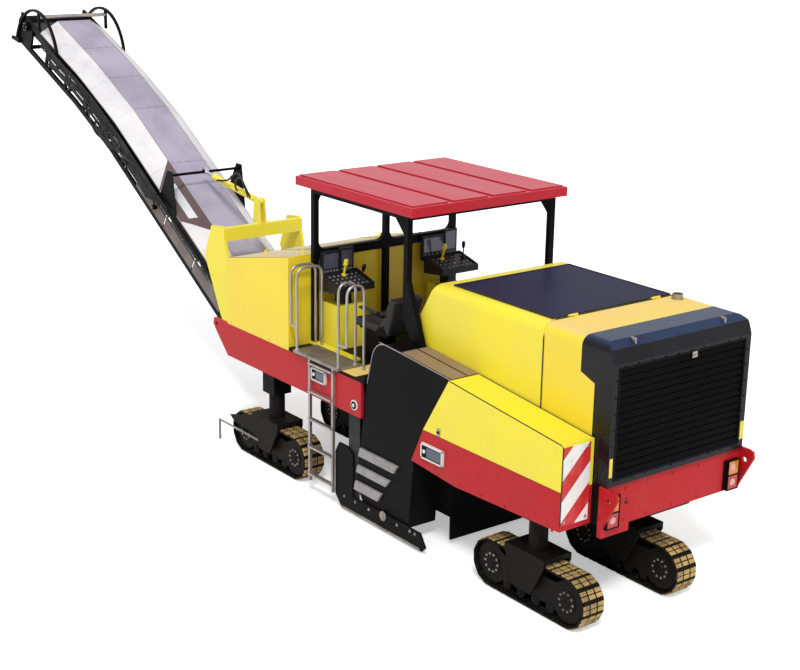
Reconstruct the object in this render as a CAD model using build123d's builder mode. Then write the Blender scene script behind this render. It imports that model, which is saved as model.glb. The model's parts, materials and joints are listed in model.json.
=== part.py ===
"""Cold planer milling machine, in millimetres, as separate pieces on their own joints.

X points to the discharge conveyor, Y to the operator's left, Z up. The origin is on the ground
under the middle of the machine. Lengths along the machine are counted from REAR, the rear face
of the left wing, and widths from MIDDLE, the centre line of hood, canopy and conveyor.
"""
from build123d import *
from math import atan2, cos, degrees, radians, sin
import os

os.makedirs("parts", exist_ok=True)

# Datums and overall sizes
REAR = -7060.0
MIDDLE = -170.0
LEFT = 1250.0
RIGHT = -1250.0
GAP = 6.0
SEAT = 0.3

# Hood
HOOD_HALF = 992.0
HOOD_TOP = 2940.0
HOOD_WALL = 8.0
HOOD_ROUND = 110.0
HOOD_SEAM = 800.0
HOOD_REAR = -200.0
HOOD_FRONT = 2806.0
HOOD_NOSE = [(2600, 1477.3), (2715, 2204), (HOOD_FRONT, 2545), (2567, HOOD_TOP)]
HINGE_X = 797.0
HINGE_Z = HOOD_TOP + 15.0
HINGE_RADIUS = 12.0
HINGE_LONG = 60.0
HINGES_Y = (-600.0, 600.0)
HINGE_LEAF = (4.0, 30.0, 6.0)
PANEL_HALF = 850.0
PANEL_REAR = 830.0
PANEL_FRONT = 2400.0
PANEL_THICK = 12.0
GRILLE_LOW = 1560.0
GRILLE_HIGH = 2685.0
GRILLE_HALF = 900.0
CAP_X = 50.0
CAP_FRONT = 250.0
CAP_STEP_LOW = 2498.0
CAP_STEP_HIGH = 2572.0
CAP_BEVEL = [(HOOD_REAR + 150, HOOD_TOP), (HOOD_REAR + 50, HOOD_TOP - 60), (HOOD_REAR, HOOD_TOP - 200)]
CAP_REAR_WALL = 40.0
CAP_ROOF = 70.0
EXHAUST_X = 670.0
EXHAUST_Y = -800.0
EXHAUST_RADIUS = 70.0
EXHAUST_TALL = 60.0
EXHAUST_SIDES = 12
ENGINE = (500.0, 2300.0, 500.0, 2500.0)
SLATS = 15
SLAT_THICK = 12.0
SLAT_TALL = 56.0
SLAT_DEEP = 28.0
SLAT_BAR = 40.0

# Left wing and drum drive cover
WING_LOW = 1050.0
WING_LINE = 1465.0
WING_TOP_REAR = 1955.0
WING_TOP_FRONT = 2135.0
WING_FRONT_TOP = 1760.0
WING_FRONT_LINE = 2180.0
WING_FRONT_LOW = 2375.0
WING_DIP = (1613.0, 60.0)
WING_SHEET = 12.0
WING_MARGIN = 20.0
COVER_FACE = LEFT - 31.0
COVER_BEND = (2830, 2226)
COVER_CORNER = (3125, 2240)
COVER_FRONT = [(3262, 1690), (3326, 1245), (3440, 400), (3300, 200), (2450, 200)]
COVER_ROUND = 330.0
HAZARD = (880, 1240, 1110, 1930)
HAZARD_THICK = 8.0

# Frame
FRAME_LOW = 1060.0
FRAME_TOP = 1477.0
FRAME_RAIL = 160.0
FRAME_OUT = 1000.0
CARRIER_GAP = 40.0
OUTRIGGER_WALL = 10.0
OUTRIGGER_END = 30.0
CROSSES_X = (900.0, 1900.0)
CROSS_LONG = 120.0
CROSS_INSET = 60.0
STAY_X = 5700.0
STAY_LONG = 100.0
BEAM_LOW = 1250.0
BEAM_TOP = 1681.0
BEAM_THICK = 40.0
BEAM_TIP = 6612.0
BEAM_REAR = 3330.0
BEAM_NOSE = [(6259, BEAM_LOW), (6543, 1522), (BEAM_TIP, 1600), (BEAM_TIP - 20, BEAM_TOP)]
BEAM_EYE = (BEAM_TIP - 80, 1610)
BUMPER_REAR = -160.0
BUMPER_LOW = 1022.0
BUMPER_TOP = 1477.0
BUMPER_THICK = 60.0
BUMPER_PLATE = (447.0, 933.0)
EYE_THICK = 30.0
EYE_INSET = 40.0
LAMPS_Y = (810.0, 960.0)
LAMP_DEEP = 40.0
LAMPS = [("lamps_red", 1040, 1190), ("lamps_amber", 1205, 1355)]
LID_LOW = BUMPER_TOP + GAP
HOOD_LOW = FRAME_TOP + SEAT
WING_IN = MIDDLE + FRAME_OUT + SEAT
EYE_PLATE = [(-160, 1030), (-349, 1390), (-335, 1460), (-280, 1477), (-160, 1477)]
EYE_CENTRE = (-229, 1349)
EYE_BORE = 60.0

# Front body and platform
BODY_FRONT = 6248.0
BODY_REAR = 4828.0
BODY_LOW = BEAM_TOP + SEAT
BODY_TOP_FRONT = 2545.0
BODY_TOP_REAR = 2840.0
SHEET = 10.0
MOUTH_MARGIN = 60.0
MOUTH_TALL = 500.0
FLOOR_TOP = 1720.0
FLOOR_THICK = FLOOR_TOP - BEAM_TOP - SEAT
PLATFORM_REAR = 2880.0
PLATFORM_STEP = 3275.0
PLATFORM_SILL = 3500.0

# Canopy
ROOF_REAR = 2795.0
ROOF_FRONT = 5078.0
ROOF_HALF = 1147.0
POST_TOP = 3650.0
ROOF_TOP = 3757.0
ROOF_SHEET = 22.0
ROOF_POCKET = 990.0
ROOF_BAND = 18.0
ROOF_BANDS = 4
ROOF_GROOVE = 80.0
ROOF_INSET = 40.0
TOP_RAIL = 60.0
WINDOW = (35.0, 1025.0, 2900.0, 3580.0)
WINDOW_ROUND = 100.0
SILL_LOW = 2790.0
GUSSET = 160.0
POST = 70.0
POST_FRONT = BODY_REAR - SEAT - POST
POST_REAR = 2930.0
POST_HALF = 1060.0
FOOT_X = (2640.0, 2820.0)
FOOT_HIGH = (2480.0, 2900.0)

# Tracks
TRACK_RADIUS = 280.0
TRACK_SPAN = 1140.0
TRACK_WIDE = 300.0
TRACK_THICK = 60.0
WHEEL = TRACK_RADIUS - TRACK_THICK - SEAT
ROLLER = 60.0
ROLLER_Z = TRACK_THICK + ROLLER + SEAT
ROLLERS_X = (-330.0, -110.0, 110.0, 330.0)
TRACK_CORE = 220.0
BEAM_Z = 290.0
BEAM_DEEP = 280.0
SHOES_STRAIGHT = 8
SHOES_END = 6
SHOE_PROUD = 14.0
SHOE_LONG = 100.0
SHOE_TALL = 24.0
SHOE_INSET = 5.0
REAR_TRACK_X = 534.0
FRONT_TRACK_X = 5390.0
LEFT_REAR_Y = 1020.0
LEFT_FRONT_Y = 1060.0
RIGHT_Y = -320.0
RIGHT_COLUMN_Y = -980.0
COLUMN = 200.0
COLUMN_GAP = 0.5
PIN_GAP = 0.3
RUN = 0.4
HOUSING_WALL = 28.0
YOKE_TOP = 640.0
COLUMN_LOW = YOKE_TOP + GAP
KING_PIN = 60.0
COLUMN_TOP = 1560.0
HOUSING_LOW = 960.0
HOUSING_TOP = 1780.0
HOUSING_CAP = 20.0
YOKE_THICK = 60.0
YOKE_REACH = 300.0
FORK_THICK = 30.0
FORK_OUT = 40.0
FORK = [(300, YOKE_TOP), (300, 560), (110, 200)]
AXLE = 100.0
WHEEL_SIDES = 36
ROLLER_SIDES = 12
ARM_DEEP = 100.0
ARM_REAR = 120.0
ARM_OVER = 130.0
GUIDE_Y = 1240.0
GUIDE = 20.0
GUIDE_X = (5500.0, 6540.0)
GUIDE_Z = (20.0, 300.0)
GUARD = [(5600, 630), (6250, 446), (6149, 386), (5600, 342)]
GUARD_THICK = 8.0
FRAME_FRONT = FRONT_TRACK_X + 850

# Drum
DRUM_X = 2900.0
DRUM_Z = 570.0
DRUM_RADIUS = 400.0
DRUM_TIP = 490.0
DRUM_RIGHT = -1180.0
DRUM_LEFT = 800.0
PICK_ROWS = 6
PICKS_PER_ROW = 7
PICK_WIDE = 60.0
SHAFT = 90.0

# Drum housing
BOX_REAR = 2200.0
BOX_FRONT = 3620.0
BOX_TOP = 1240.0
BOX_LOW = 330.0
BOX_WALL = 20.0
BOX_SLOPE = [(BOX_FRONT, 1000), (BOX_FRONT - 250, BOX_TOP)]
BOX_MOUTH = 800.0
BOX_LEFT = DRUM_LEFT + 30
BOX_RIGHT = DRUM_RIGHT - 35
SIDE_PLATE_THICK = 25.0
SCRAPER_BACK = 30.0
SCRAPER_Z = (60.0, 1000.0)
RUNNER_WIDE = 14.0
RUNNER_Z = (400.0, 900.0)
SIDE_PLATE_LOW = 30.0
SIDE_PLATE_TOP = 236.0
SIDE_PLATE_HIGH = 700.0
SIDE_PLATE_FRONT = 3831.0
SIDE_PLATE_TALL = 829.0
SIDE_PLATE_STEP = 3480.0
RUNNER = (2600.0, 3200.0, 80.0, 20.0)

# Gathering conveyor
GATHER_START = (3690.0, 600.0)
GATHER_END = (6620.0, 1780.0)
GATHER_HALF = 400.0
GATHER_DEEP = 300.0

# Discharge conveyor: bends of its top line, as distance from REAR and height
TOP_LINE = [(6950.0, 1436.0), (10800.0, 3750.0), (12000.0, 4335.0), (14050.0, 5163.0)]
COVER_END = 13350.0
COVER_HALF_TOP = 284.0
BOOM_HALF = 570.0
COVER_DROP = 200.0
COVER_SHEET = 8.0
LOWER_CHORD = 700.0
CHORD = 80.0
SLEW_X = 6950.0
PIVOT = (7187.0, 1042.0)
HEAD = (14200.0, 4756.0)
HEAD_RADIUS = 150.0
BELT_DEPTH = (340.0, 420.0)
BELT_INSET = 60.0
EAR_IN = 600.0
EAR_THICK = 40.0
MAST_EYE = (7720.0, 2850.0)
LIFT_EYE = (9200.0, 3040.0)
LIFT_BRACKET = [(9050, 2440), (9500, 2720), (9280, 3100), (9140, 3100)]
PIVOT_PIN = 60.0
TRUSS = 60.0
TRUSS_BAYS = (5, 2, 3)
BRACKET = 15.0
LIFT_BARREL = 45.0
LIFT_ROD = 25.0
BARREL_NECK = 30.0
BARREL_START = 110.0
BARREL_END = 1240.0
ROD_START = 320.0
PIN = 20.0
EYE = 48.0
EYE_PLAY = 14.0
EYE_SHIFT = (1.6, 10.1)
MAST_HALF = 33.0
YOKE_LOW = 900.0
YOKE_HIGH = 990.0
SLEW_GAP = 7.0
SLEW_PIN = 45.0
EAR = [
    (7670, 2590), (7960, 2550), (8150, 2090), (7740, 1300), (7400, 930), (7060, YOKE_LOW),
    (6860, YOKE_LOW), (6860, YOKE_HIGH), (7000, 1200), (7250, 1560), (7560, 2200),
]
YOKE_BEAM = (7620.0, 7720.0, 2380.0, 2560.0)
YOKE_FOOT = (90.0, 110.0)
MAST = [(7620, 2560), (7820, 2560), (7790, 2900), (7660, 2900)]
MAST_PLATE = 20.0
NOSE_REAR = 5900.0
NOSE_BLOCK = 6700.0
NOSE_FRONT = 7020.0
NOSE_LOW = 1060.0
NOSE_TOP = 1300.0
NOSE_PLATE = 40.0
NOSE = [
    (NOSE_REAR, NOSE_TOP), (NOSE_REAR + 400, NOSE_TOP), (NOSE_FRONT, NOSE_LOW),
    (NOSE_FRONT, YOKE_HIGH + SLEW_GAP), (NOSE_BLOCK, YOKE_HIGH + SLEW_GAP), (NOSE_REAR, NOSE_TOP - 100),
]
NOSE_HALF = 200.0
NOSE_BAR = 100.0
HOOPS = [(12780, 4400), (13540, 5045), (14295, 4540)]
HOOP = 40.0
HOOP_BAR_X = 13400.0
HOOP_BAR_Z = (4720.0, 5030.0)
TIP_BRACKET = [(14200, 4560), (14480, 4570), (14480, 4520), (14200, 4470)]
SKIRTS = [(7600, 8340), (8360, 9140), (9160, 9950)]
SKIRT_DEPTH = (390.0, 612.0)
BOARDS = [(7450, 8200), (8280, 9020), (9100, 9840), (9920, 10660)]
BOARD_DEPTH = (290.0, 378.0)
SKIRT_THICK = 8.0

# Steps, consoles, seats, ladder and rails
STEPS = [(2630, 3345, 780, 885), (2776, 3390, 570, 664), (2923, 3430, 342, 455)]
STEP_LEAN = (25.0, 72.0)
TRAY_FRONT = POST_FRONT - 58
TRAY_REAR = TRAY_FRONT - 380
TRAY_HIGH = 2620.0
TRAY_LOW = 2520.0
TRAY_DEEP = (80.0, 220.0)
TRAY_POCKET = 18.0
TRAYS = [(340.0, 880.0), (-1290.0, -708.0)]
STEM = 120.0
STEM_X = (TRAY_FRONT - 240, TRAY_FRONT - 60)
CABINETS = [(458.0, 826.0), (-1166.0, -798.0)]
CABINET_LONG = 352.0
CABINET_TOP = 2261.0
SCREENS = [(382, 586, 2888), (591, 850, 2870), (-1024, -679, 2870), (-1237, -1029, 2921)]
SCREEN_LOW = 2560.0
SCREEN_THICK = 45.0
SEATS_Y = (600.0, -760.0)
SEAT_HEIGHT = 2120.0
SEAT_HALF = 210.0
CUSHION = (3595.0, 4056.0, 110.0)
SEAT_BACK = [(3420, 0), (3595, 0), (3595, 110), (3400, 470), (3290, 440)]
PEDESTAL = (3700.0, 3980.0, 120.0)
LADDER_REAR = 3855.0
LADDER_FRONT = 4335.0
LADDER_Y = LEFT + 17.0 + SEAT
LADDER_FOOT = 170.0
RUNGS = 5
RUNG_LOW = 265.0
RUNG_HIGH = 1665.0
RUNG_TALL = 24.0
RUNG_OUT = 40.0
LANDING_REAR = 3715.0
LANDING_FRONT = 4640.0
LANDING_DEEP = 300.0
LANDING_THICK = 30.0
RAIL = 34.0
RAIL_OUT = 1275.0
RAIL_TOP = 2753.0
RAIL_BEND = 120.0
RAIL_SHORT = 2020.0
RAIL_FOOT = FLOOR_TOP + LANDING_THICK + SEAT
HAND_RAILS = [
    (3579.0, 1033.0, FLOOR_TOP + SEAT, RAIL_SHORT), (3747.0, 1033.0, RAIL_FOOT, RAIL_FOOT),
    (4603.0, 917.0, FLOOR_TOP + SEAT, RAIL_FOOT), (4734.0, 917.0, FLOOR_TOP + SEAT, RAIL_SHORT),
]
RAIL_TIES = [(3579.0, 3747.0), (4603.0, 4734.0)]


def at(x, y, z):
    """Turns a place counted from the datums into one in the model's frame."""
    return (REAR + x, MIDDLE + y, z)


def side(y_left):
    """Side plane whose sketches are extruded from y_left towards the right."""
    return Plane(origin=(REAR, y_left, 0), x_dir=(1, 0, 0), z_dir=(0, -1, 0))


def flat(z):
    """Level plane at height z, counted along the machine from REAR."""
    return Plane(origin=(REAR, 0, z), x_dir=(1, 0, 0), z_dir=(0, 0, 1))


def save(builder, name):
    """Labels a finished piece and writes it."""
    builder.part.label = name
    export_step(builder.part, "parts/" + name + ".step")


def block(x0, x1, y0, y1, z0, z1, mode=Mode.ADD):
    """A block between two corners, in the model's frame apart from x."""
    with BuildSketch(flat(z0)) as outline:
        with Locations(((x0 + x1) / 2, (y0 + y1) / 2)):
            Rectangle(x1 - x0, y1 - y0)
    extrude(outline.sketch, amount=z1 - z0, mode=mode)


def plate(points, y_left, width, mode=Mode.ADD):
    """A plate whose side outline is given as distance from REAR and height."""
    with BuildSketch(side(y_left)) as outline:
        Polygon(*points, align=None)
    extrude(outline.sketch, amount=width, mode=mode)


def rod(start, end, radius, mode=Mode.ADD):
    """A round bar between two places in the model's frame."""
    a, b = Vector(*start), Vector(*end)
    with BuildSketch(Plane(origin=a, z_dir=b - a)) as outline:
        Circle(radius)
    extrude(outline.sketch, amount=(b - a).length, mode=mode)


# Places of the four track units: name, along, across, column across
UNITS = [
    ("left_rear", REAR_TRACK_X, LEFT_REAR_Y, LEFT_REAR_Y),
    ("right_rear", REAR_TRACK_X, RIGHT_Y, RIGHT_COLUMN_Y),
    ("left_front", FRONT_TRACK_X, LEFT_FRONT_Y, LEFT_FRONT_Y),
    ("right_front", FRONT_TRACK_X, RIGHT_Y, RIGHT_COLUMN_Y),
]
HOUSING = COLUMN / 2 + COLUMN_GAP + HOUSING_WALL


# Frame rails: two stepped rails, each with two outriggers that hold the leg housings
RAIL_LEFT = MIDDLE + FRAME_OUT - FRAME_RAIL
RAIL_RIGHT = MIDDLE - FRAME_OUT + FRAME_RAIL
RAIL_REAR = BUMPER_REAR + BUMPER_THICK + SEAT
with BuildPart() as frame_rails:
    for y_left in (MIDDLE + FRAME_OUT, RAIL_RIGHT):
        plate([
            (RAIL_REAR, FRAME_LOW), (BOX_REAR - CARRIER_GAP, FRAME_LOW), (
                BOX_REAR - CARRIER_GAP, BOX_TOP + SEAT),
            (FRAME_FRONT, BOX_TOP + SEAT), (FRAME_FRONT, FRAME_TOP), (RAIL_REAR, FRAME_TOP),
        ], y_left, FRAME_RAIL)
    for name, x, y, y_column in UNITS:
        y_in = RAIL_LEFT if y_column > 0 else RAIL_RIGHT - FRAME_RAIL
        y0 = min(y_in, y_column - HOUSING - OUTRIGGER_WALL)
        y1 = max(y_in + FRAME_RAIL, y_column + HOUSING + OUTRIGGER_WALL)
        reach = HOUSING + OUTRIGGER_END
        block(x - reach, x + reach, y0, y1, BOX_TOP + SEAT, WING_LINE - GAP)
    for name, x, y, y_column in UNITS:
        half = HOUSING + SEAT
        block(x - half, x + half, y_column - half, y_column + half, 0, HOUSING_TOP, Mode.SUBTRACT)
save(frame_rails, "frame_rails")

# Cross members between the rails, and the carrier over the drum
with BuildPart() as cross_members:
    for x0 in (RAIL_REAR, *CROSSES_X):
        block(x0, x0 + CROSS_LONG, RAIL_RIGHT, RAIL_LEFT, FRAME_LOW + CROSS_INSET, FRAME_TOP - CROSS_INSET)
    block(BOX_REAR, BOX_FRONT, RAIL_RIGHT, RAIL_LEFT, BOX_TOP + SEAT, FRAME_TOP)
    for y0, y1 in ((MIDDLE + GATHER_HALF + SEAT, RAIL_LEFT), (RAIL_RIGHT, MIDDLE - GATHER_HALF - SEAT)):
        block(STAY_X, STAY_X + STAY_LONG, y0, y1, BOX_TOP + CROSS_INSET, FRAME_TOP - CROSS_INSET / 2)
save(cross_members, "cross_members")

# Frame nose: front cross head with the plates and the slew pin of the discharge conveyor
with BuildPart() as frame_nose:
    block(NOSE_REAR - 20, NOSE_REAR - 20 + NOSE_BAR, RAIL_RIGHT, RAIL_LEFT, NOSE_TOP - NOSE_BAR, NOSE_TOP)
    for y_left in (MIDDLE + NOSE_HALF, MIDDLE - NOSE_HALF + NOSE_PLATE):
        plate(NOSE, y_left, NOSE_PLATE)
    block(NOSE_BLOCK, NOSE_FRONT, MIDDLE - NOSE_HALF, MIDDLE + NOSE_HALF, YOKE_HIGH + SLEW_GAP, NOSE_LOW)
    rod(at(SLEW_X, 0, YOKE_LOW - 80), at(SLEW_X, 0, YOKE_HIGH + 10), SLEW_PIN)
save(frame_nose, "frame_nose")

# Leg housings: the four upright tubes that guide the columns
with BuildPart() as leg_housings:
    for name, x, y, y_column in UNITS:
        block(
            x - HOUSING, x + HOUSING, y_column - HOUSING, y_column + HOUSING, HOUSING_LOW,
            HOUSING_TOP + HOUSING_CAP)
        bore = (REAR + x, y_column, HOUSING_LOW - 1)
        rod(bore, (*bore[:2], HOUSING_TOP), COLUMN / 2 + COLUMN_GAP, Mode.SUBTRACT)
save(leg_housings, "leg_housings")

# Rear bumper with tow eye plates at both ends
with BuildPart() as rear_bumper:
    block(BUMPER_REAR, BUMPER_REAR + BUMPER_THICK, RIGHT + EYE_INSET, WING_IN, BUMPER_LOW, BUMPER_TOP)
    block(BUMPER_REAR, BUMPER_REAR + BUMPER_THICK, BUMPER_PLATE[0], WING_IN, BUMPER_PLATE[1], BUMPER_TOP)
    for y_left in (RIGHT + EYE_INSET + EYE_THICK, WING_IN):
        plate(EYE_PLATE, y_left, EYE_THICK)
        with BuildSketch(side(y_left)):
            with Locations(EYE_CENTRE):
                Circle(EYE_BORE / 2)
        extrude(amount=EYE_THICK, mode=Mode.SUBTRACT)
save(rear_bumper, "rear_bumper")

# Rear lamps on the bumper: amber over red at both ends
for name, z0, z1 in LAMPS:
    with BuildPart() as lamps:
        for y0, y1 in (LAMPS_Y, (-LAMPS_Y[1], -LAMPS_Y[0])):
            block(BUMPER_REAR - SEAT - LAMP_DEEP, BUMPER_REAR - SEAT, MIDDLE + y0, MIDDLE + y1, z0, z1)
    save(lamps, name)

# Left wing: red base and yellow tool box
with BuildPart() as wing_base:
    plate([
        (0, WING_LOW), (WING_DIP[0], WING_LOW - WING_DIP[1]), (WING_FRONT_LOW, WING_LOW),
        (WING_FRONT_LINE, WING_LINE), (0, WING_LINE),
    ], LEFT, LEFT - WING_IN)
    plate([
        (SHEET, WING_LOW - 2 * WING_DIP[1]), (WING_FRONT_LOW - 2 * WING_MARGIN, WING_LOW - 2 * WING_DIP[1]),
        (WING_FRONT_LINE - 2 * WING_MARGIN, WING_LINE + 1), (SHEET, WING_LINE + 1),
    ], LEFT - SHEET, LEFT - WING_IN, Mode.SUBTRACT)
save(wing_base, "wing_base")

with BuildPart() as wing_top:
    plate([
        (0, WING_LINE + SEAT), (WING_FRONT_LINE, WING_LINE + SEAT), (WING_FRONT_TOP, WING_TOP_FRONT), (
            0, WING_TOP_REAR),
    ], LEFT, LEFT - WING_IN)
    plate([
        (SHEET, WING_LINE - 1), (WING_FRONT_LINE - WING_MARGIN, WING_LINE - 1),
        (WING_FRONT_TOP - WING_MARGIN, WING_TOP_FRONT - WING_SHEET), (SHEET, WING_TOP_REAR - WING_SHEET),
    ], LEFT - SHEET, LEFT - WING_IN - 2 * SHEET, Mode.SUBTRACT)
save(wing_top, "wing_top")

# Plate for the hazard stripes on the wing's rear face
with BuildPart() as hazard_plate:
    y0, y1, z0, z1 = HAZARD
    block(-SEAT - HAZARD_THICK, -SEAT, y0, y1, z0, z1)
save(hazard_plate, "hazard_plate")

# Drum drive cover, with the three step treads on its outer side
COVER_OUTLINE = [
    (WING_FRONT_TOP + SEAT, WING_TOP_FRONT), COVER_BEND, COVER_CORNER, *COVER_FRONT,
    (WING_FRONT_LOW + SEAT, WING_LOW), (WING_FRONT_LINE + SEAT, WING_LINE),
]
with BuildPart() as drive_cover:
    with BuildSketch(side(COVER_FACE)) as outline:
        Polygon(*COVER_OUTLINE, align=None)
        fillet(outline.vertices().sort_by_distance(COVER_CORNER)[0], COVER_ROUND)
    extrude(amount=COVER_FACE - WING_IN)
save(drive_cover, "drive_cover")

with BuildPart() as step_treads:
    for x0, x1, z0, z1 in STEPS:
        front, rear = STEP_LEAN
        plate([(x0, z1), (x1, z1), (x1 + front, z0), (x0 + rear, z0)], LEFT, LEFT - COVER_FACE - SEAT)
save(step_treads, "step_treads")

# Red side beams of the front, with tie-down eyes at their tips
with BuildPart() as side_beams:
    for y0 in (LEFT, RIGHT + BEAM_THICK):
        plate([(BEAM_REAR, BEAM_TOP), (BEAM_REAR, BEAM_LOW), *BEAM_NOSE], y0, BEAM_THICK)
        with BuildSketch(side(y0)):
            with Locations(BEAM_EYE):
                Circle(EYE_BORE / 2)
        extrude(amount=BEAM_THICK, mode=Mode.SUBTRACT)
save(side_beams, "side_beams")

# Front body: a sheet shell open below and in front for the conveyors
with BuildPart() as front_body:
    plate([
        (BODY_REAR, BODY_LOW), (BODY_FRONT, BODY_LOW), (BODY_FRONT, BODY_TOP_FRONT), (BODY_REAR, BODY_TOP_REAR),
    ], LEFT, LEFT - RIGHT)
    plate([
        (BODY_REAR + SHEET, BODY_LOW - 1), (BODY_FRONT - SHEET, BODY_LOW - 1),
        (BODY_FRONT - SHEET, BODY_TOP_FRONT - SHEET), (BODY_REAR + SHEET, BODY_TOP_REAR - SHEET),
    ], LEFT - SHEET, LEFT - RIGHT - 2 * SHEET, Mode.SUBTRACT)
    half = GATHER_HALF + MOUTH_MARGIN
    block(
        BODY_FRONT - 2 * SHEET, BODY_FRONT + 1, MIDDLE - half, MIDDLE + half, BODY_LOW - 1,
        BODY_LOW + MOUTH_TALL, Mode.SUBTRACT)
save(front_body, "front_body")

# Operator's platform: floor, side sills and hatch wall
with BuildPart() as platform:
    x1, z0 = BODY_REAR - SEAT, FLOOR_TOP - FLOOR_THICK
    block(PLATFORM_REAR, x1, RIGHT, WING_IN - SEAT, z0, FLOOR_TOP)
    block(PLATFORM_STEP, x1, RIGHT, LEFT, z0, FLOOR_TOP)
    block(PLATFORM_SILL, x1, RIGHT + BEAM_THICK + SEAT, LEFT - BEAM_THICK - SEAT, FRAME_TOP + SEAT, z0)
    for name, x, y, y_column in UNITS:
        half = HOUSING + GAP
        block(x - half, x + half, y_column - half, y_column + half, FRAME_TOP, HOUSING_TOP, Mode.SUBTRACT)
save(platform, "platform")

# Hood front half: a shell over the frame
HOOD_PROFILE = [(HOOD_SEAM, HOOD_LOW), *HOOD_NOSE, (HOOD_SEAM, HOOD_TOP)]
HOOD_INSIDE = [(x - 1.3 * HOOD_WALL, min(z, HOOD_TOP - HOOD_WALL)) for x, z in HOOD_NOSE]
with BuildPart() as hood_front:
    plate(HOOD_PROFILE, MIDDLE + HOOD_HALF, 2 * HOOD_HALF)
    fillet(hood_front.edges().filter_by(Axis.X).group_by(Axis.Z)[-1], HOOD_ROUND)
    with BuildSketch(side(MIDDLE + HOOD_HALF - HOOD_WALL)):
        Polygon(
            (HOOD_SEAM - 1, HOOD_LOW - 1), (HOOD_INSIDE[0][0], HOOD_LOW - 1), *HOOD_INSIDE,
            (HOOD_SEAM - 1, HOOD_TOP - HOOD_WALL), align=None)
    hollow = extrude(amount=2 * (HOOD_HALF - HOOD_WALL), mode=Mode.PRIVATE)
    corners = hollow.edges().filter_by(Axis.X).group_by(Axis.Z)[-1]
    add(hollow.fillet(HOOD_ROUND - HOOD_WALL, corners), mode=Mode.SUBTRACT)
    for y in HINGES_Y:
        near, far, tall = HINGE_LEAF
        block(HINGE_X + near, HINGE_X + far, MIDDLE + y, MIDDLE + y + HINGE_LONG, HOOD_TOP - 1, HOOD_TOP + tall)
        rod(at(HINGE_X, y, HINGE_Z), at(HINGE_X, y + HINGE_LONG, HINGE_Z), HINGE_RADIUS)
save(hood_front, "hood_front")

with BuildPart() as top_panel:
    block(
        PANEL_REAR, PANEL_FRONT, MIDDLE - PANEL_HALF, MIDDLE + PANEL_HALF, HOOD_TOP + SEAT,
        HOOD_TOP + PANEL_THICK)
save(top_panel, "top_panel")


def arch(x0, x1, inset, mode):
    """The hood's section with rounded shoulders, run from x0 to x1."""
    with BuildSketch(Plane(origin=(REAR + x0, MIDDLE, LID_LOW), x_dir=(0, 1, 0), z_dir=(1, 0, 0))) as section:
        with Locations((0, (HOOD_TOP - LID_LOW - inset) / 2)):
            Rectangle(2 * (HOOD_HALF - inset), HOOD_TOP - LID_LOW - inset)
        fillet(section.vertices().group_by(Axis.Y)[-1], HOOD_ROUND - inset)
    extrude(section.sketch, amount=x1 - x0, mode=mode)


# Hood rear half, a lid that carries the cap and the grille
with BuildPart() as hood_rear:
    for inset, mode in ((0, Mode.ADD), (HOOD_WALL, Mode.SUBTRACT)):
        arch(CAP_X + SEAT, HOOD_SEAM - GAP, inset, mode)
    plate([
        (CAP_X - 1, CAP_STEP_LOW - SEAT), (CAP_X + SEAT, CAP_STEP_LOW - SEAT), (
            CAP_FRONT + SEAT, CAP_STEP_HIGH - SEAT),
        (CAP_FRONT + SEAT, HOOD_TOP + 1), (CAP_X - 1, HOOD_TOP + 1),
    ], MIDDLE + HOOD_HALF + 1, 2 * HOOD_HALF + 2, Mode.SUBTRACT)
    for y in HINGES_Y:
        near, far, tall = HINGE_LEAF
        block(HINGE_X - far, HINGE_X - near, MIDDLE + y - HINGE_LONG, MIDDLE + y, HOOD_TOP - 1, HOOD_TOP + tall)
        rod(at(HINGE_X, y - HINGE_LONG, HINGE_Z), at(HINGE_X, y - SEAT, HINGE_Z), HINGE_RADIUS)
save(hood_rear, "hood_rear")

# Cap with the hood's rounded shoulders, stepped forward in its upper half
with BuildPart() as hood_cap:
    plate([
        (HOOD_REAR, LID_LOW), (CAP_X, LID_LOW), (CAP_X, CAP_STEP_LOW), (CAP_FRONT, CAP_STEP_HIGH),
        (CAP_FRONT, HOOD_TOP), *CAP_BEVEL,
    ], MIDDLE + HOOD_HALF, 2 * HOOD_HALF)
    arch(HOOD_REAR, CAP_FRONT, 0, Mode.INTERSECT)
    with BuildPart(mode=Mode.SUBTRACT):
        plate([
            (HOOD_REAR + CAP_REAR_WALL, LID_LOW - 1), (CAP_X + 1, LID_LOW - 1), (
                CAP_X + 1, CAP_STEP_LOW + HOOD_WALL),
            (CAP_FRONT + 1, CAP_STEP_HIGH + HOOD_WALL), (CAP_FRONT + 1, HOOD_TOP - HOOD_WALL),
            (HOOD_REAR + 160, HOOD_TOP - HOOD_WALL), (HOOD_REAR + 90, HOOD_TOP - CAP_ROOF),
            (HOOD_REAR + CAP_REAR_WALL, HOOD_TOP - 210),
        ], MIDDLE + HOOD_HALF, 2 * HOOD_HALF)
        arch(HOOD_REAR - 1, CAP_FRONT + 2, HOOD_WALL, Mode.INTERSECT)
    block(
        HOOD_REAR - 1, HOOD_REAR + CAP_REAR_WALL + 1, MIDDLE - GRILLE_HALF, MIDDLE + GRILLE_HALF, GRILLE_LOW,
        GRILLE_HIGH, Mode.SUBTRACT)
save(hood_cap, "hood_cap")

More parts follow.
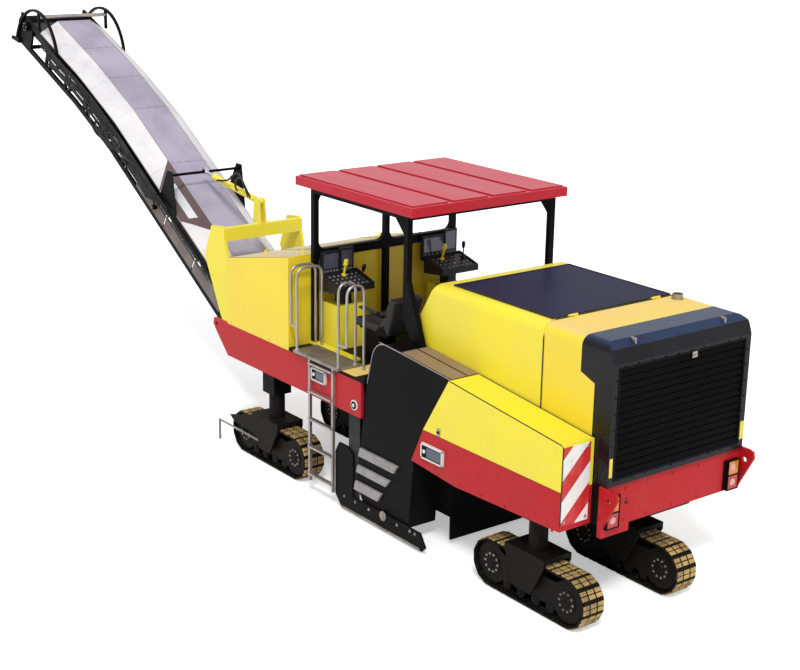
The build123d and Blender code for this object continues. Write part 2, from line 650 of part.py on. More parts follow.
with BuildPart() as rear_grille:
    low, high = GRILLE_LOW + SEAT, GRILLE_HIGH - SEAT
    pitch = (high - low) / SLATS
    for i in range(SLATS):
        z = low + (i + 0.5) * pitch
        plate([
            (HOOD_REAR + 2, z - SLAT_TALL / 2), (HOOD_REAR + 2 + SLAT_THICK, z - SLAT_TALL / 2),
            (HOOD_REAR + SLAT_DEEP, z + SLAT_TALL / 2), (HOOD_REAR + SLAT_DEEP - SLAT_THICK, z + SLAT_TALL / 2),
        ], MIDDLE + GRILLE_HALF - SEAT, 2 * (GRILLE_HALF - SEAT))
    for y0 in (SEAT - GRILLE_HALF, -SLAT_BAR / 2, GRILLE_HALF - SEAT - SLAT_BAR):
        x0 = HOOD_REAR + SLAT_DEEP + SEAT
        block(x0, x0 + SHEET, MIDDLE + y0, MIDDLE + y0 + SLAT_BAR, low, high)
save(rear_grille, "rear_grille")

# Engine, one plain block on the rails
with BuildPart() as engine_block:
    x0, x1, half, top = ENGINE
    block(x0, x1, MIDDLE - half, MIDDLE + half, FRAME_TOP + SEAT, top)
save(engine_block, "engine_block")

# Canopy: frame of tubes with two rounded windows in front, splayed left rear foot
SIDE = Plane(origin=(REAR + POST_FRONT, MIDDLE, 0), x_dir=(0, 1, 0), z_dir=(1, 0, 0))
FOOT_SLOPE = (COVER_BEND[1] - WING_TOP_FRONT) / (COVER_BEND[0] - WING_FRONT_TOP)
with BuildPart() as canopy_frame:
    with BuildSketch(SIDE) as front:
        with Locations((0, (SILL_LOW + POST_TOP) / 2)):
            Rectangle(2 * POST_HALF + POST, POST_TOP - SILL_LOW)
        y0, y1, z0, z1 = WINDOW
        with Locations(((y0 + y1) / 2, (z0 + z1) / 2), (-(y0 + y1) / 2, (z0 + z1) / 2)):
            RectangleRounded(y1 - y0, z1 - z0, WINDOW_ROUND, mode=Mode.SUBTRACT)
    extrude(front.sketch, amount=POST)
    for y in (-POST_HALF, 0, POST_HALF):
        y0 = MIDDLE + y - POST / 2
        block(POST_FRONT, POST_FRONT + POST, y0, y0 + POST, FLOOR_TOP + SEAT, SILL_LOW)
    for y, low in ((-POST_HALF, FLOOR_TOP + SEAT), (POST_HALF, FOOT_HIGH[1])):
        y0 = MIDDLE + y - POST / 2
        block(POST_REAR, POST_REAR + POST, y0, y0 + POST, low, POST_TOP)
        block(POST_REAR, POST_FRONT, y0, y0 + POST, POST_TOP - TOP_RAIL, POST_TOP)
        corner = (POST_REAR + POST, POST_TOP - TOP_RAIL)
        plate([corner, (corner[0] + GUSSET, corner[1]), (corner[0], corner[1] - GUSSET)], y0 + POST, POST)
    block(POST_REAR, POST_REAR + POST, MIDDLE - POST_HALF, MIDDLE + POST_HALF, POST_TOP - TOP_RAIL, POST_TOP)
    foot = [(x, WING_TOP_FRONT + (x - WING_FRONT_TOP) * FOOT_SLOPE + SEAT) for x in FOOT_X]
    plate([
        *foot, (POST_REAR + POST, FOOT_HIGH[0]), (POST_REAR + POST, FOOT_HIGH[1]), (POST_REAR, FOOT_HIGH[1]),
    ], MIDDLE + POST_HALF + POST / 2, POST)
save(canopy_frame, "canopy_frame")

# Roof: a shell with four raised bands along the machine
with BuildPart() as canopy_roof:
    block(ROOF_REAR, ROOF_FRONT, MIDDLE - ROOF_HALF, MIDDLE + ROOF_HALF, POST_TOP + SEAT, ROOF_TOP)
    block(
        POST_REAR + POST + 10, POST_FRONT - 10, MIDDLE - ROOF_POCKET, MIDDLE + ROOF_POCKET, POST_TOP,
        ROOF_TOP - ROOF_SHEET, Mode.SUBTRACT)
    pitch = (2 * (ROOF_HALF - ROOF_INSET) + ROOF_GROOVE) / ROOF_BANDS
    for i in range(ROOF_BANDS):
        y0 = MIDDLE - ROOF_HALF + ROOF_INSET + i * pitch
        block(
            ROOF_REAR + ROOF_INSET, ROOF_FRONT - ROOF_INSET, y0, y0 + pitch - ROOF_GROOVE, ROOF_TOP,
            ROOF_TOP + ROOF_BAND)
save(canopy_roof, "canopy_roof")

# Consoles: cabinets on the floor, trays on stems, upright screens in front
with BuildPart() as console_cabinets:
    for y0, y1 in CABINETS:
        block(
            TRAY_FRONT + SCREEN_THICK - CABINET_LONG, TRAY_FRONT + SCREEN_THICK, y0, y1, FLOOR_TOP + SEAT,
            CABINET_TOP)
save(console_cabinets, "console_cabinets")

with BuildPart() as consoles:
    slope = (TRAY_HIGH - TRAY_LOW) / (TRAY_FRONT - TRAY_REAR)
    for (y0, y1), (c0, c1) in zip(TRAYS, CABINETS):
        tray = [
            (TRAY_REAR, TRAY_LOW - TRAY_DEEP[0]), (TRAY_REAR, TRAY_LOW), (TRAY_FRONT, TRAY_HIGH),
            (TRAY_FRONT, TRAY_HIGH - TRAY_DEEP[1]),
        ]
        plate(tray, y1, y1 - y0)
        rim = TRAY_POCKET
        low = TRAY_LOW + slope * rim - rim
        high = TRAY_HIGH - slope * rim - rim
        pocket = [
            (TRAY_REAR + rim, low), (TRAY_REAR + rim, high), (TRAY_FRONT - rim, high + rim),
            (TRAY_FRONT - rim, high)]
        plate(pocket, y1 - rim, y1 - y0 - 2 * rim, Mode.SUBTRACT)
        middle = (c0 + c1) / 2
        block(*STEM_X, middle - STEM / 2, middle + STEM / 2, CABINET_TOP + SEAT, TRAY_LOW - TRAY_DEEP[0] + 10)
save(consoles, "consoles")

with BuildPart() as console_screens:
    for y0, y1, top in SCREENS:
        block(TRAY_FRONT + SEAT, TRAY_FRONT + SCREEN_THICK, y0, y1, SCREEN_LOW, top)
save(console_screens, "console_screens")

# Seats, soft solids on their pedestals
with BuildPart() as seats:
    for y in SEATS_Y:
        x0, x1, tall = CUSHION
        block(x0, x1, y - SEAT_HALF, y + SEAT_HALF, SEAT_HEIGHT, SEAT_HEIGHT + tall)
        plate([(x, SEAT_HEIGHT + z) for x, z in SEAT_BACK], y + SEAT_HALF, 2 * SEAT_HALF)
save(seats, "seats")

with BuildPart() as seat_pedestals:
    for y in SEATS_Y:
        x0, x1, half = PEDESTAL
        block(x0, x1, y - half, y + half, FLOOR_TOP + SEAT, SEAT_HEIGHT - SEAT)
save(seat_pedestals, "seat_pedestals")

# Ladder: two stringers and flat rungs
LADDER_HEAD = FLOOR_TOP - SEAT
with BuildPart() as ladder:
    for x in (LADDER_REAR, LADDER_FRONT):
        half = RAIL / 2
        block(x - half, x + half, LADDER_Y - half, LADDER_Y + half, LADDER_FOOT, LADDER_HEAD)
    for i in range(RUNGS):
        z = RUNG_LOW + i * (RUNG_HIGH - RUNG_LOW) / (RUNGS - 1)
        block(
            LADDER_REAR, LADDER_FRONT, LADDER_Y - RAIL / 2, LADDER_Y + RUNG_OUT, z - RUNG_TALL / 2,
            z + RUNG_TALL / 2)
save(ladder, "ladder")

# Landing at the head of the ladder
with BuildPart() as landing:
    block(
        LANDING_REAR, LANDING_FRONT, LEFT - LANDING_DEEP, LADDER_Y + RUNG_OUT, FLOOR_TOP + SEAT,
        FLOOR_TOP + LANDING_THICK)
save(landing, "landing")

# Hand rails: two hoops of tube at each side of the landing, tied in pairs
with BuildPart() as hand_rails:
    for x, y_in, foot_in, foot_out in HAND_RAILS:
        with BuildSketch(Plane(origin=(REAR + x - RAIL / 2, 0, 0), x_dir=(0, 1, 0), z_dir=(1, 0, 0))) as hoop:
            with BuildLine():
                FilletPolyline(
                    (y_in, foot_in), (y_in, RAIL_TOP), (RAIL_OUT, RAIL_TOP), (RAIL_OUT, foot_out),
                    radius=RAIL_BEND)
            trace(line_width=RAIL)
        extrude(hoop.sketch, amount=RAIL)
    for x0, x1 in RAIL_TIES:
        half = RAIL / 2
        block(x0, x1, RAIL_OUT - half, RAIL_OUT + half, RAIL_SHORT, RAIL_SHORT + RAIL)
save(hand_rails, "hand_rails")

# Exhaust outlet
with BuildPart() as exhaust:
    with BuildSketch(flat(HOOD_TOP + SEAT)):
        with Locations((EXHAUST_X, MIDDLE + EXHAUST_Y)):
            RegularPolygon(EXHAUST_RADIUS, EXHAUST_SIDES)
    extrude(amount=EXHAUST_TALL)
save(exhaust, "exhaust")

# Drum housing: top, side walls and front apron, open below
with BuildPart() as drum_housing:
    plate(
        [(BOX_REAR, BOX_LOW), (BOX_FRONT, BOX_LOW), *BOX_SLOPE, (BOX_REAR, BOX_TOP)], BOX_LEFT,
        BOX_LEFT - BOX_RIGHT)
    inside = [(x - BOX_WALL, z - BOX_WALL / 2) for x, z in BOX_SLOPE]
    plate([
        (BOX_REAR - 1, BOX_LOW - 1), (BOX_FRONT - BOX_WALL, BOX_LOW - 1), inside[0],
        (inside[1][0], BOX_TOP - BOX_WALL), (BOX_REAR - 1, BOX_TOP - BOX_WALL),
    ], BOX_LEFT - BOX_WALL, BOX_LEFT - BOX_RIGHT - 2 * BOX_WALL, Mode.SUBTRACT)
    block(
        BOX_FRONT - BOX_WALL - 1, BOX_FRONT + 1, MIDDLE - GATHER_HALF, MIDDLE + GATHER_HALF, BOX_LOW - 1,
        BOX_MOUTH, Mode.SUBTRACT)
    rod(
        (REAR + DRUM_X, BOX_RIGHT - 1, DRUM_Z), (REAR + DRUM_X, BOX_LEFT + 1, DRUM_Z), SHAFT + COLUMN_GAP, Mode.SUBTRACT)
save(drum_housing, "drum_housing")

# Drum with its picks
with BuildPart() as milling_drum:
    with BuildSketch(side(DRUM_LEFT)):
        with Locations((DRUM_X, DRUM_Z)):
            Circle(DRUM_RADIUS)
    extrude(amount=DRUM_LEFT - DRUM_RIGHT)
    rod((REAR + DRUM_X, BOX_RIGHT + 1, DRUM_Z), (REAR + DRUM_X, BOX_LEFT - 2, DRUM_Z), SHAFT)
    turn = 360 / PICKS_PER_ROW
    for i in range(PICK_ROWS):
        y = DRUM_RIGHT + PICK_WIDE + i * (DRUM_LEFT - DRUM_RIGHT - 2 * PICK_WIDE) / (PICK_ROWS - 1)
        with BuildSketch(side(y + PICK_WIDE / 2)):
            with Locations((DRUM_X, DRUM_Z)):
                with PolarLocations(0, PICKS_PER_ROW, start_angle=i * turn / 3):
                    Polygon((DRUM_RADIUS - 10, -40), (DRUM_TIP, -20), (DRUM_RADIUS - 10, 40), align=None)
        extrude(amount=PICK_WIDE)
save(milling_drum, "milling_drum")

# Scraper behind the drum
with BuildPart() as scraper:
    block(BOX_REAR - SCRAPER_BACK, BOX_REAR - GAP, BOX_RIGHT, BOX_LEFT, *SCRAPER_Z)
    for y in (BOX_RIGHT + 3, BOX_LEFT - 17):
        block(BOX_REAR - GAP, BOX_REAR - RUN, y, y + RUNNER_WIDE, *RUNNER_Z)
save(scraper, "scraper")

# Side plates on both ends of the drum box, on their runners; the left one is tall in front of the treads
LEFT_PLATE = [
    (2100, 90), (2160, SIDE_PLATE_LOW), (3700, SIDE_PLATE_LOW), (SIDE_PLATE_FRONT, 170), (
        SIDE_PLATE_FRONT, 700),
    (3760, SIDE_PLATE_TALL), (3600, SIDE_PLATE_TALL), (SIDE_PLATE_STEP, 760), (SIDE_PLATE_STEP, SIDE_PLATE_TOP),
    (2200, SIDE_PLATE_TOP),
]
RIGHT_PLATE = [
    (2100, 90), (2160, SIDE_PLATE_LOW), (3700, SIDE_PLATE_LOW), (3760, 90), (3740, SIDE_PLATE_HIGH - 100),
    (3650, SIDE_PLATE_HIGH), (2200, SIDE_PLATE_HIGH),
]
for name, outline, y, top, y_run in (
    ("side_plate_left", LEFT_PLATE, LEFT, SIDE_PLATE_TOP, COVER_FACE + RUN),
    ("side_plate_right", RIGHT_PLATE, BOX_RIGHT - GAP, SIDE_PLATE_HIGH, BOX_RIGHT - GAP),
):
    with BuildPart() as side_plate:
        plate(outline, y, SIDE_PLATE_THICK)
        x0, x1, tall, down = RUNNER
        block(x0, x1, y_run, y_run + GAP - RUN, top - down - tall, top - down)
    save(side_plate, name)

# Gathering conveyor from the drum box up to the discharge conveyor
GATHER_ANGLE = degrees(atan2(GATHER_END[1] - GATHER_START[1], GATHER_END[0] - GATHER_START[0]))
with BuildPart() as gathering_conveyor:
    s, c = sin(radians(GATHER_ANGLE)), cos(radians(GATHER_ANGLE))
    half = GATHER_DEEP / 2
    (x0, z0), (x1, z1) = GATHER_START, GATHER_END
    plate(
        [(x0 + s * half, z0 - c * half), (x1 + s * half, z1 - c * half), (x1 - s * half, z1 + c * half), (x0 - s * half, z0 + c * half)],
        MIDDLE + GATHER_HALF, 2 * GATHER_HALF)
save(gathering_conveyor, "gathering_conveyor")

# Columns: each slides in its housing, and on the right it carries an arm to the inboard track
for name, x, y, y_column in UNITS:
    with BuildPart() as column:
        with BuildSketch(flat(COLUMN_LOW)):
            with Locations((x, y_column)):
                Circle(COLUMN / 2)
        extrude(amount=COLUMN_TOP - COLUMN_LOW)
        if y != y_column:
            block(
                x - ARM_REAR, x + ARM_REAR, y_column - ARM_OVER, y + ARM_OVER, COLUMN_LOW,
                COLUMN_LOW + ARM_DEEP)
        rod((REAR + x, y, YOKE_TOP - 40), (REAR + x, y, COLUMN_LOW), KING_PIN)
    save(column, "column_" + name)

def shoe_places(x):
    """Middle of each shoe's outer face, with its turn, round one loop."""
    half = TRACK_SPAN / 2
    pitch = TRACK_SPAN / SHOES_STRAIGHT
    places = []
    for i in range(SHOES_STRAIGHT):
        along = x - half + (i + 0.5) * pitch
        places.append(Location((along, 2 * TRACK_RADIUS), 0))
        places.append(Location((along, 0), 180))
    for end, first in ((1, -90), (-1, 90)):
        for i in range(SHOES_END):
            turn = first + (i + 0.5) * 180 / SHOES_END
            reach = TRACK_RADIUS - SHOE_INSET
            places.append(
                Location((x + end * half + cos(radians(turn)) * reach, TRACK_RADIUS + sin(radians(turn)) * reach), turn - 90))
    return places


# Track units: frame with fork, and the loop with its shoes
for name, x, y, y_column in UNITS:
    half = TRACK_WIDE / 2 + FORK_OUT
    with BuildPart() as frame:
        block(x - YOKE_REACH, x + YOKE_REACH, y - half, y + half, YOKE_TOP - YOKE_THICK + 14, YOKE_TOP)
        for y_left in (y - half + FORK_THICK, y + half):
            plate([(x + a, z) for a, z in FORK] + [(x - a, z) for a, z in FORK[::-1]], y_left, FORK_THICK)
        with BuildSketch(side(y + TRACK_CORE / 2)) as core:
            with Locations((x, BEAM_Z)):
                Rectangle(TRACK_SPAN, BEAM_DEEP)
            with Locations((x - TRACK_SPAN / 2, TRACK_RADIUS), (x + TRACK_SPAN / 2, TRACK_RADIUS)):
                RegularPolygon(WHEEL, WHEEL_SIDES)
            with Locations(*[(x + place, ROLLER_Z) for place in ROLLERS_X]):
                RegularPolygon(ROLLER, ROLLER_SIDES)
        extrude(core.sketch, amount=TRACK_CORE)
        block(
            x - AXLE / 2, x + AXLE / 2, y - half + 10, y + half - 10, TRACK_RADIUS - AXLE / 2,
            TRACK_RADIUS + AXLE / 2)
        rod((REAR + x, y, YOKE_TOP - 80), (REAR + x, y, YOKE_TOP + 1), KING_PIN + PIN_GAP, Mode.SUBTRACT)
        if name == "left_front":
            block(*GUIDE_X, GUIDE_Y - GUIDE, GUIDE_Y, GUIDE_Z[1] - GUIDE, GUIDE_Z[1])
            block(GUIDE_X[1] - GUIDE, GUIDE_X[1], GUIDE_Y - GUIDE, GUIDE_Y, *GUIDE_Z)
            plate(GUARD, GUIDE_Y, GUARD_THICK)
    save(frame, "track_frame_" + name)
    with BuildPart() as loop:
        with BuildSketch(side(y + TRACK_WIDE / 2)):
            with Locations((x, TRACK_RADIUS)):
                SlotCenterToCenter(TRACK_SPAN, 2 * (TRACK_RADIUS - SHOE_PROUD))
            for shoe in shoe_places(x):
                with Locations(shoe):
                    Rectangle(SHOE_LONG, SHOE_TALL, align=(Align.CENTER, Align.MAX))
            with Locations((x, TRACK_RADIUS)):
                SlotCenterToCenter(TRACK_SPAN, 2 * (TRACK_RADIUS - TRACK_THICK), mode=Mode.SUBTRACT)
        extrude(amount=TRACK_WIDE)
    save(loop, "track_loop_" + name)


def top_line(depth):
    """The conveyor's top line moved square to itself by depth, with mitred bends."""
    places = []
    for i, (x, z) in enumerate(TOP_LINE):
        before = TOP_LINE[max(i - 1, 0)]
        after = TOP_LINE[min(i + 1, len(TOP_LINE) - 1)]
        a = atan2(z - before[1], x - before[0]) if i else atan2(after[1] - z, after[0] - x)
        b = atan2(after[1] - z, after[0] - x) if i < len(TOP_LINE) - 1 else a
        middle = (a + b) / 2
        length = depth / cos((b - a) / 2)
        places.append((x + sin(middle) * length, z - cos(middle) * length))
    return places


def band(upper, lower):
    """Side outline between two depths under the top line."""
    return top_line(upper) + top_line(lower)[::-1]


def along(i, share, depth):
    """Place at a share of stretch i of the conveyor, at a depth under its top line."""
    line = top_line(depth)
    return tuple(line[i][n] + share * (line[i + 1][n] - line[i][n]) for n in (0, 1))


def end_places():
    """Side plates that hold the head pulley and the tail shaft."""
    upper, lower = COVER_DROP + CHORD / 2, LOWER_CHORD - CHORD / 2
    head = [along(2, 0.78, upper), along(2, 1, upper), along(2, 1, lower), along(2, 0.78, lower)]
    tail = [along(0, 0, upper), along(0, 0.12, upper), along(0, 0.12, lower), along(0, 0, lower)]
    return head, tail


def truss_posts():
    """Feet and heads of the posts between the chords, evenly spaced in each straight stretch."""
    upper = top_line(COVER_DROP + CHORD / 2)
    lower = top_line(LOWER_CHORD - CHORD / 2)
    posts = []
    for i, count in enumerate(TRUSS_BAYS):
        for j in range(count):
            a = (j + 0.5) / count
            foot = tuple(lower[i][n] + a * (lower[i + 1][n] - lower[i][n]) for n in (0, 1))
            head = tuple(upper[i][n] + a * (upper[i + 1][n] - upper[i][n]) for n in (0, 1))
            posts.append((foot, head))
    return posts


def cover_line():
    """The top line cut off where the cover ends."""
    (x0, z0), (x1, z1) = TOP_LINE[-2:]
    return TOP_LINE[:-1] + [(COVER_END, z0 + (z1 - z0) * (COVER_END - x0) / (x1 - x0))]


# Slewing yoke under the discharge conveyor
with BuildPart() as conveyor_yoke:
    for y0 in (MIDDLE + EAR_IN + EAR_THICK, MIDDLE - EAR_IN):
        plate(EAR, y0, EAR_THICK)
    half = EAR_IN + EAR_THICK
    block(*YOKE_BEAM[:2], MIDDLE - half, MIDDLE + half, *YOKE_BEAM[2:])
    block(SLEW_X - YOKE_FOOT[0], SLEW_X + YOKE_FOOT[1], MIDDLE - half, MIDDLE + half, YOKE_LOW, YOKE_HIGH)
    rod(at(SLEW_X, 0, YOKE_LOW - 1), at(SLEW_X, 0, YOKE_HIGH + 1), SLEW_PIN + PIN_GAP, Mode.SUBTRACT)
    for y0 in (MAST_HALF + MAST_PLATE, -MAST_HALF):
        plate(MAST, MIDDLE + y0, MAST_PLATE)
    rod(at(MAST_EYE[0], -MAST_HALF - 1, MAST_EYE[1]), at(MAST_EYE[0], MAST_HALF + 1, MAST_EYE[1]), PIN)
    for y0 in (-EAR_IN - EAR_THICK - 1, EAR_IN - 1):
        rod(
            at(PIVOT[0], y0, PIVOT[1]), at(PIVOT[0], y0 + EAR_THICK + 2, PIVOT[1]), PIVOT_PIN + PIN_GAP,
            Mode.SUBTRACT)
save(conveyor_yoke, "conveyor_yoke")

# Discharge conveyor: two truss sides, with the stubs that turn in the yoke's ears
with BuildPart() as conveyor_sides:
    for y_left, y_stub, y_bracket in (
        (MIDDLE + BOOM_HALF, MIDDLE + BOOM_HALF - 1, MIDDLE + BOOM_HALF + BRACKET),
        (MIDDLE - BOOM_HALF + CHORD / 2, MIDDLE - EAR_IN - EAR_THICK, MIDDLE - BOOM_HALF),
    ):
        plate(band(COVER_DROP, COVER_DROP + CHORD), y_left, CHORD / 2)
        plate(band(LOWER_CHORD - CHORD, LOWER_CHORD), y_left, CHORD / 2)
        for foot, head in truss_posts():
            plate([foot, (foot[0] + TRUSS, foot[1]), (head[0] + TRUSS, head[1]), head], y_left, CHORD / 2)
        for outline in end_places():
            plate(outline, y_left, CHORD / 2)
        plate(LIFT_BRACKET, y_bracket, BRACKET)
        stub = (REAR + PIVOT[0], y_stub, PIVOT[1])
        rod(stub, (stub[0], y_stub + EAR_IN + EAR_THICK - BOOM_HALF + 1, stub[2]), PIVOT_PIN)
save(conveyor_sides, "conveyor_sides")

# Cross members between the truss sides, head drum and the bar that the lift cylinder holds
with BuildPart() as conveyor_cross:
    inner = BOOM_HALF - CHORD / 2
    for foot, head in truss_posts():
        x, z = foot[0] + TRUSS / 2, foot[1]
        half = TRUSS / 2
        block(x - half, x + half, MIDDLE - inner, MIDDLE + inner, z - half, z + half)
    rod(at(PIVOT[0], -inner, PIVOT[1]), at(PIVOT[0], inner, PIVOT[1]), PIVOT_PIN)
    rod(at(HEAD[0], -inner, HEAD[1]), at(HEAD[0], inner, HEAD[1]), HEAD_RADIUS)
    rod(at(LIFT_EYE[0], -BOOM_HALF, LIFT_EYE[1]), at(LIFT_EYE[0], BOOM_HALF, LIFT_EYE[1]), PIN)
save(conveyor_cross, "conveyor_cross")


def strip(x0, x1, depths):
    """Side outline of a strip on the conveyor's first stretch, between two depths under its top line."""
    long = TOP_LINE[1][0] - TOP_LINE[0][0]
    places = []
    for x, depth in ((x0, depths[0]), (x1, depths[0]), (x1, depths[1]), (x0, depths[1])):
        line = top_line(0)
        share = (x - TOP_LINE[0][0]) / long
        a = atan2(line[1][1] - line[0][1], line[1][0] - line[0][0])
        top = along(0, share, 0)
        places.append((top[0] + sin(a) * depth, top[1] - cos(a) * depth))
    return places


# Grey skirts and black boards on the outer faces of the truss
OUTSIDE = (MIDDLE + BOOM_HALF + SEAT + SKIRT_THICK, MIDDLE - BOOM_HALF - SEAT)
for name, table, depths in (("conveyor_skirts", SKIRTS, SKIRT_DEPTH), ("conveyor_boards", BOARDS, BOARD_DEPTH)):
    with BuildPart() as strips:
        for y_left in OUTSIDE:
            for x0, x1 in table:
                plate(strip(x0, x1, depths), y_left, SKIRT_THICK)
    save(strips, name)

# Hoops over the conveyor's tip, with their cross bar and the bracket at the left
with BuildPart() as tip_hoops:
    for y_left in (MIDDLE + BOOM_HALF + SEAT + HOOP, MIDDLE - BOOM_HALF - SEAT):
        with BuildSketch(side(y_left)) as bow:
            with BuildLine():
                ThreePointArc(*HOOPS)
            trace(line_width=HOOP)
        extrude(bow.sketch, amount=HOOP)
        plate([
            (HOOP_BAR_X - HOOP / 2, HOOP_BAR_Z[0]), (HOOP_BAR_X + HOOP / 2, HOOP_BAR_Z[0]),
            (HOOP_BAR_X + HOOP / 2, HOOP_BAR_Z[1]), (HOOP_BAR_X - HOOP / 2, HOOP_BAR_Z[1]),
        ], y_left, HOOP)
    reach = BOOM_HALF + SEAT + 1
    z0 = HOOP_BAR_Z[1] - 100
    block(HOOP_BAR_X - HOOP / 2, HOOP_BAR_X + HOOP / 2, MIDDLE - reach, MIDDLE + reach, z0, z0 + HOOP)
    plate(TIP_BRACKET, MIDDLE + BOOM_HALF + SEAT + HOOP, HOOP)
save(tip_hoops, "tip_hoops")

with BuildPart() as conveyor_cover:
    with BuildLine() as spine:
        Polyline(*[at(x, 0, z) for x, z in cover_line()])
    route = spine.wires()[0]
    with BuildSketch(Plane(origin=route @ 0, x_dir=(0, 1, 0), z_dir=route % 0)):
        Polygon(
            (-BOOM_HALF, SEAT - COVER_DROP), (-COVER_HALF_TOP, 0), (COVER_HALF_TOP, 0), (
                BOOM_HALF, SEAT - COVER_DROP),
            (BOOM_HALF - 2 * COVER_SHEET, SEAT - COVER_DROP), (COVER_HALF_TOP - COVER_SHEET, -COVER_SHEET),
            (COVER_SHEET - COVER_HALF_TOP, -COVER_SHEET), (2 * COVER_SHEET - BOOM_HALF, SEAT - COVER_DROP), align=None)
    sweep(path=route, transition=Transition.RIGHT)
save(conveyor_cover, "conveyor_cover")

with BuildPart() as conveyor_belt:
    half = BOOM_HALF - BELT_INSET
    plate(band(*BELT_DEPTH), MIDDLE + half, 2 * half)
    for (x, z), radius in ((HEAD, HEAD_RADIUS), (PIVOT, PIVOT_PIN)):
        rod(at(x, -BOOM_HALF, z), at(x, BOOM_HALF, z), radius + SEAT, Mode.SUBTRACT)
save(conveyor_belt, "conveyor_belt")

# Lift cylinder between mast and boom: the rod slides in the barrel
LIFT_LENGTH = ((LIFT_EYE[0] - MAST_EYE[0]) ** 2 + (LIFT_EYE[1] - MAST_EYE[1]) ** 2) ** 0.5


def lift_at(length):
    """Place on the cylinder's line, at a length from the mast eye."""
    share = length / LIFT_LENGTH
    x, z = (MAST_EYE[i] + share * (LIFT_EYE[i] - MAST_EYE[i]) for i in (0, 1))
    return at(x, 0, z)


with BuildPart() as lift_barrel:
    rod(lift_at(BARREL_START), lift_at(BARREL_END), LIFT_BARREL)
    rod(lift_at(BARREL_NECK), lift_at(BARREL_START + 5), BARREL_NECK)
    x, z = MAST_EYE
    rod(at(x, 1 - MAST_HALF, z), at(x, MAST_HALF - 1, z), EYE)
    rod(at(x, -MAST_HALF, z), at(x, MAST_HALF, z), PIN + 1, Mode.SUBTRACT)
    rod(lift_at(BARREL_START + BARREL_NECK), lift_at(BARREL_END + 1), LIFT_ROD + RUN, Mode.SUBTRACT)
save(lift_barrel, "lift_barrel")
with BuildPart() as lift_rod:
    rod(lift_at(ROD_START), lift_at(LIFT_LENGTH - EYE + 8), LIFT_ROD)
    x, z = LIFT_EYE[0] + EYE_SHIFT[0], LIFT_EYE[1] + EYE_SHIFT[1]
    half = MAST_HALF - 3
    rod(at(x, -half, z), at(x, half, z), EYE)
    rod(at(x, -half - 1, z), at(x, half + 1, z), PIN + EYE_PLAY, Mode.SUBTRACT)
save(lift_rod, "lift_rod")
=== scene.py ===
"""Finishes and small pieces of a cold planer milling machine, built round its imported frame."""
import json
import math
import random

import bmesh
import bpy
from mathutils import Matrix, Vector


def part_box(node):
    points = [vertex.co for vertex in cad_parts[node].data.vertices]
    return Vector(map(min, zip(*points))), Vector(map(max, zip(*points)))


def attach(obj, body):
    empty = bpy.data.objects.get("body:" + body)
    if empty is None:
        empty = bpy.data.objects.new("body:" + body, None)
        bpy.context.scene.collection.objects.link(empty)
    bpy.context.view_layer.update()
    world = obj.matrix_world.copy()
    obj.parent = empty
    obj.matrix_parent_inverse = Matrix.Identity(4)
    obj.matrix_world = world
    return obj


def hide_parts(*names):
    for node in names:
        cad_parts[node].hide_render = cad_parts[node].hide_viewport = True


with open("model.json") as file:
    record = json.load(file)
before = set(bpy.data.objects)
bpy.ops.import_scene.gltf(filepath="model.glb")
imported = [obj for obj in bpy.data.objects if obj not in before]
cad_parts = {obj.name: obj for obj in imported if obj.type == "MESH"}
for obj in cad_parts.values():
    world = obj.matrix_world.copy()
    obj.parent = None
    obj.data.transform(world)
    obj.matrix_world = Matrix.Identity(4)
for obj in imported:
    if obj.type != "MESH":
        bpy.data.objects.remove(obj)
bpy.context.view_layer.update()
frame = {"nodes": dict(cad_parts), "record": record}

bl_info = {
    "name": "Cold Planer Milling Machine",
    "version": (1, 0, 0),
    "blender": (4, 5, 0),
    "location": "View3D > Sidebar > Cold Planer",
    "description": "Paint, tracks, lamps, seats and hoses of a cold planer milling machine",
    "category": "Object",
}

# Places along the machine are counted from the rear face of the left wing, in metres.
# MIDDLE is the conveyor's and the hood's middle plane, LEFT the left face of the body
REAR = -7.060
MIDDLE = -0.170
LEFT = 1.250

# Camera, solved from the photo's straight edges
CAMERA_PLACE = (REAR - 9.925, 10.861, 7.158)
CAMERA_LOOK = (0.76035, -0.58272, -0.28687)
CAMERA_ROLL = 0.96
CAMERA_FOCAL = 1519 / 800
SENSOR = 36.0

# Track units: place of each king pin along and across
TRACKS = {
    "left_rear": (0.534, 1.020),
    "right_rear": (0.534, -0.320),
    "left_front": (5.390, 1.060),
    "right_front": (5.390, -0.320),
}
# Axles before and behind the pin, the chain's line round them, the shoes and the rollers
AXLE_APART = 0.570
AXLE_UP = 0.280
CHAIN_RADIUS = 0.262
SHOE_HALF = 0.148
CORE_HALF = 0.110
ROLLERS = (-0.330, -0.110, 0.110, 0.330)
ROLLER_UP = 0.120

# Hand rails: where two hoops join low down; place along, inner side, inner foot, outer foot
RAIL_JOIN = 2.037
HOOPS = (
    (3.579, 1.033, 1.7203, RAIL_JOIN),
    (3.747, 1.033, 1.7503, 1.7503),
    (4.603, 0.917, 1.7203, 1.7503),
    (4.734, 0.917, 1.7203, RAIL_JOIN),
)
RAIL_TOP = 2.753
RAIL_OUT = 1.275
RAIL_BEND = 0.13

# Seats: middle of each, half of its width, its sewn seams, the grid and the steps of its cloth
SEATS = (0.600, -0.760)
SEAT_HALF = 0.210
SEAM_OUT = 0.125
VOXEL = 0.009
CLOTH_STEPS = 20
# Outlines of cushion and back seen from the side, and the hinge of the arm rests
CUSHION = ((3.595, 2.120), (4.056, 2.120), (4.056, 2.230), (3.595, 2.230))
BACKREST = ((3.420, 2.120), (3.595, 2.120), (3.595, 2.230), (3.400, 2.590), (3.290, 2.560))
ARM_HINGE = (3.480, 2.360)

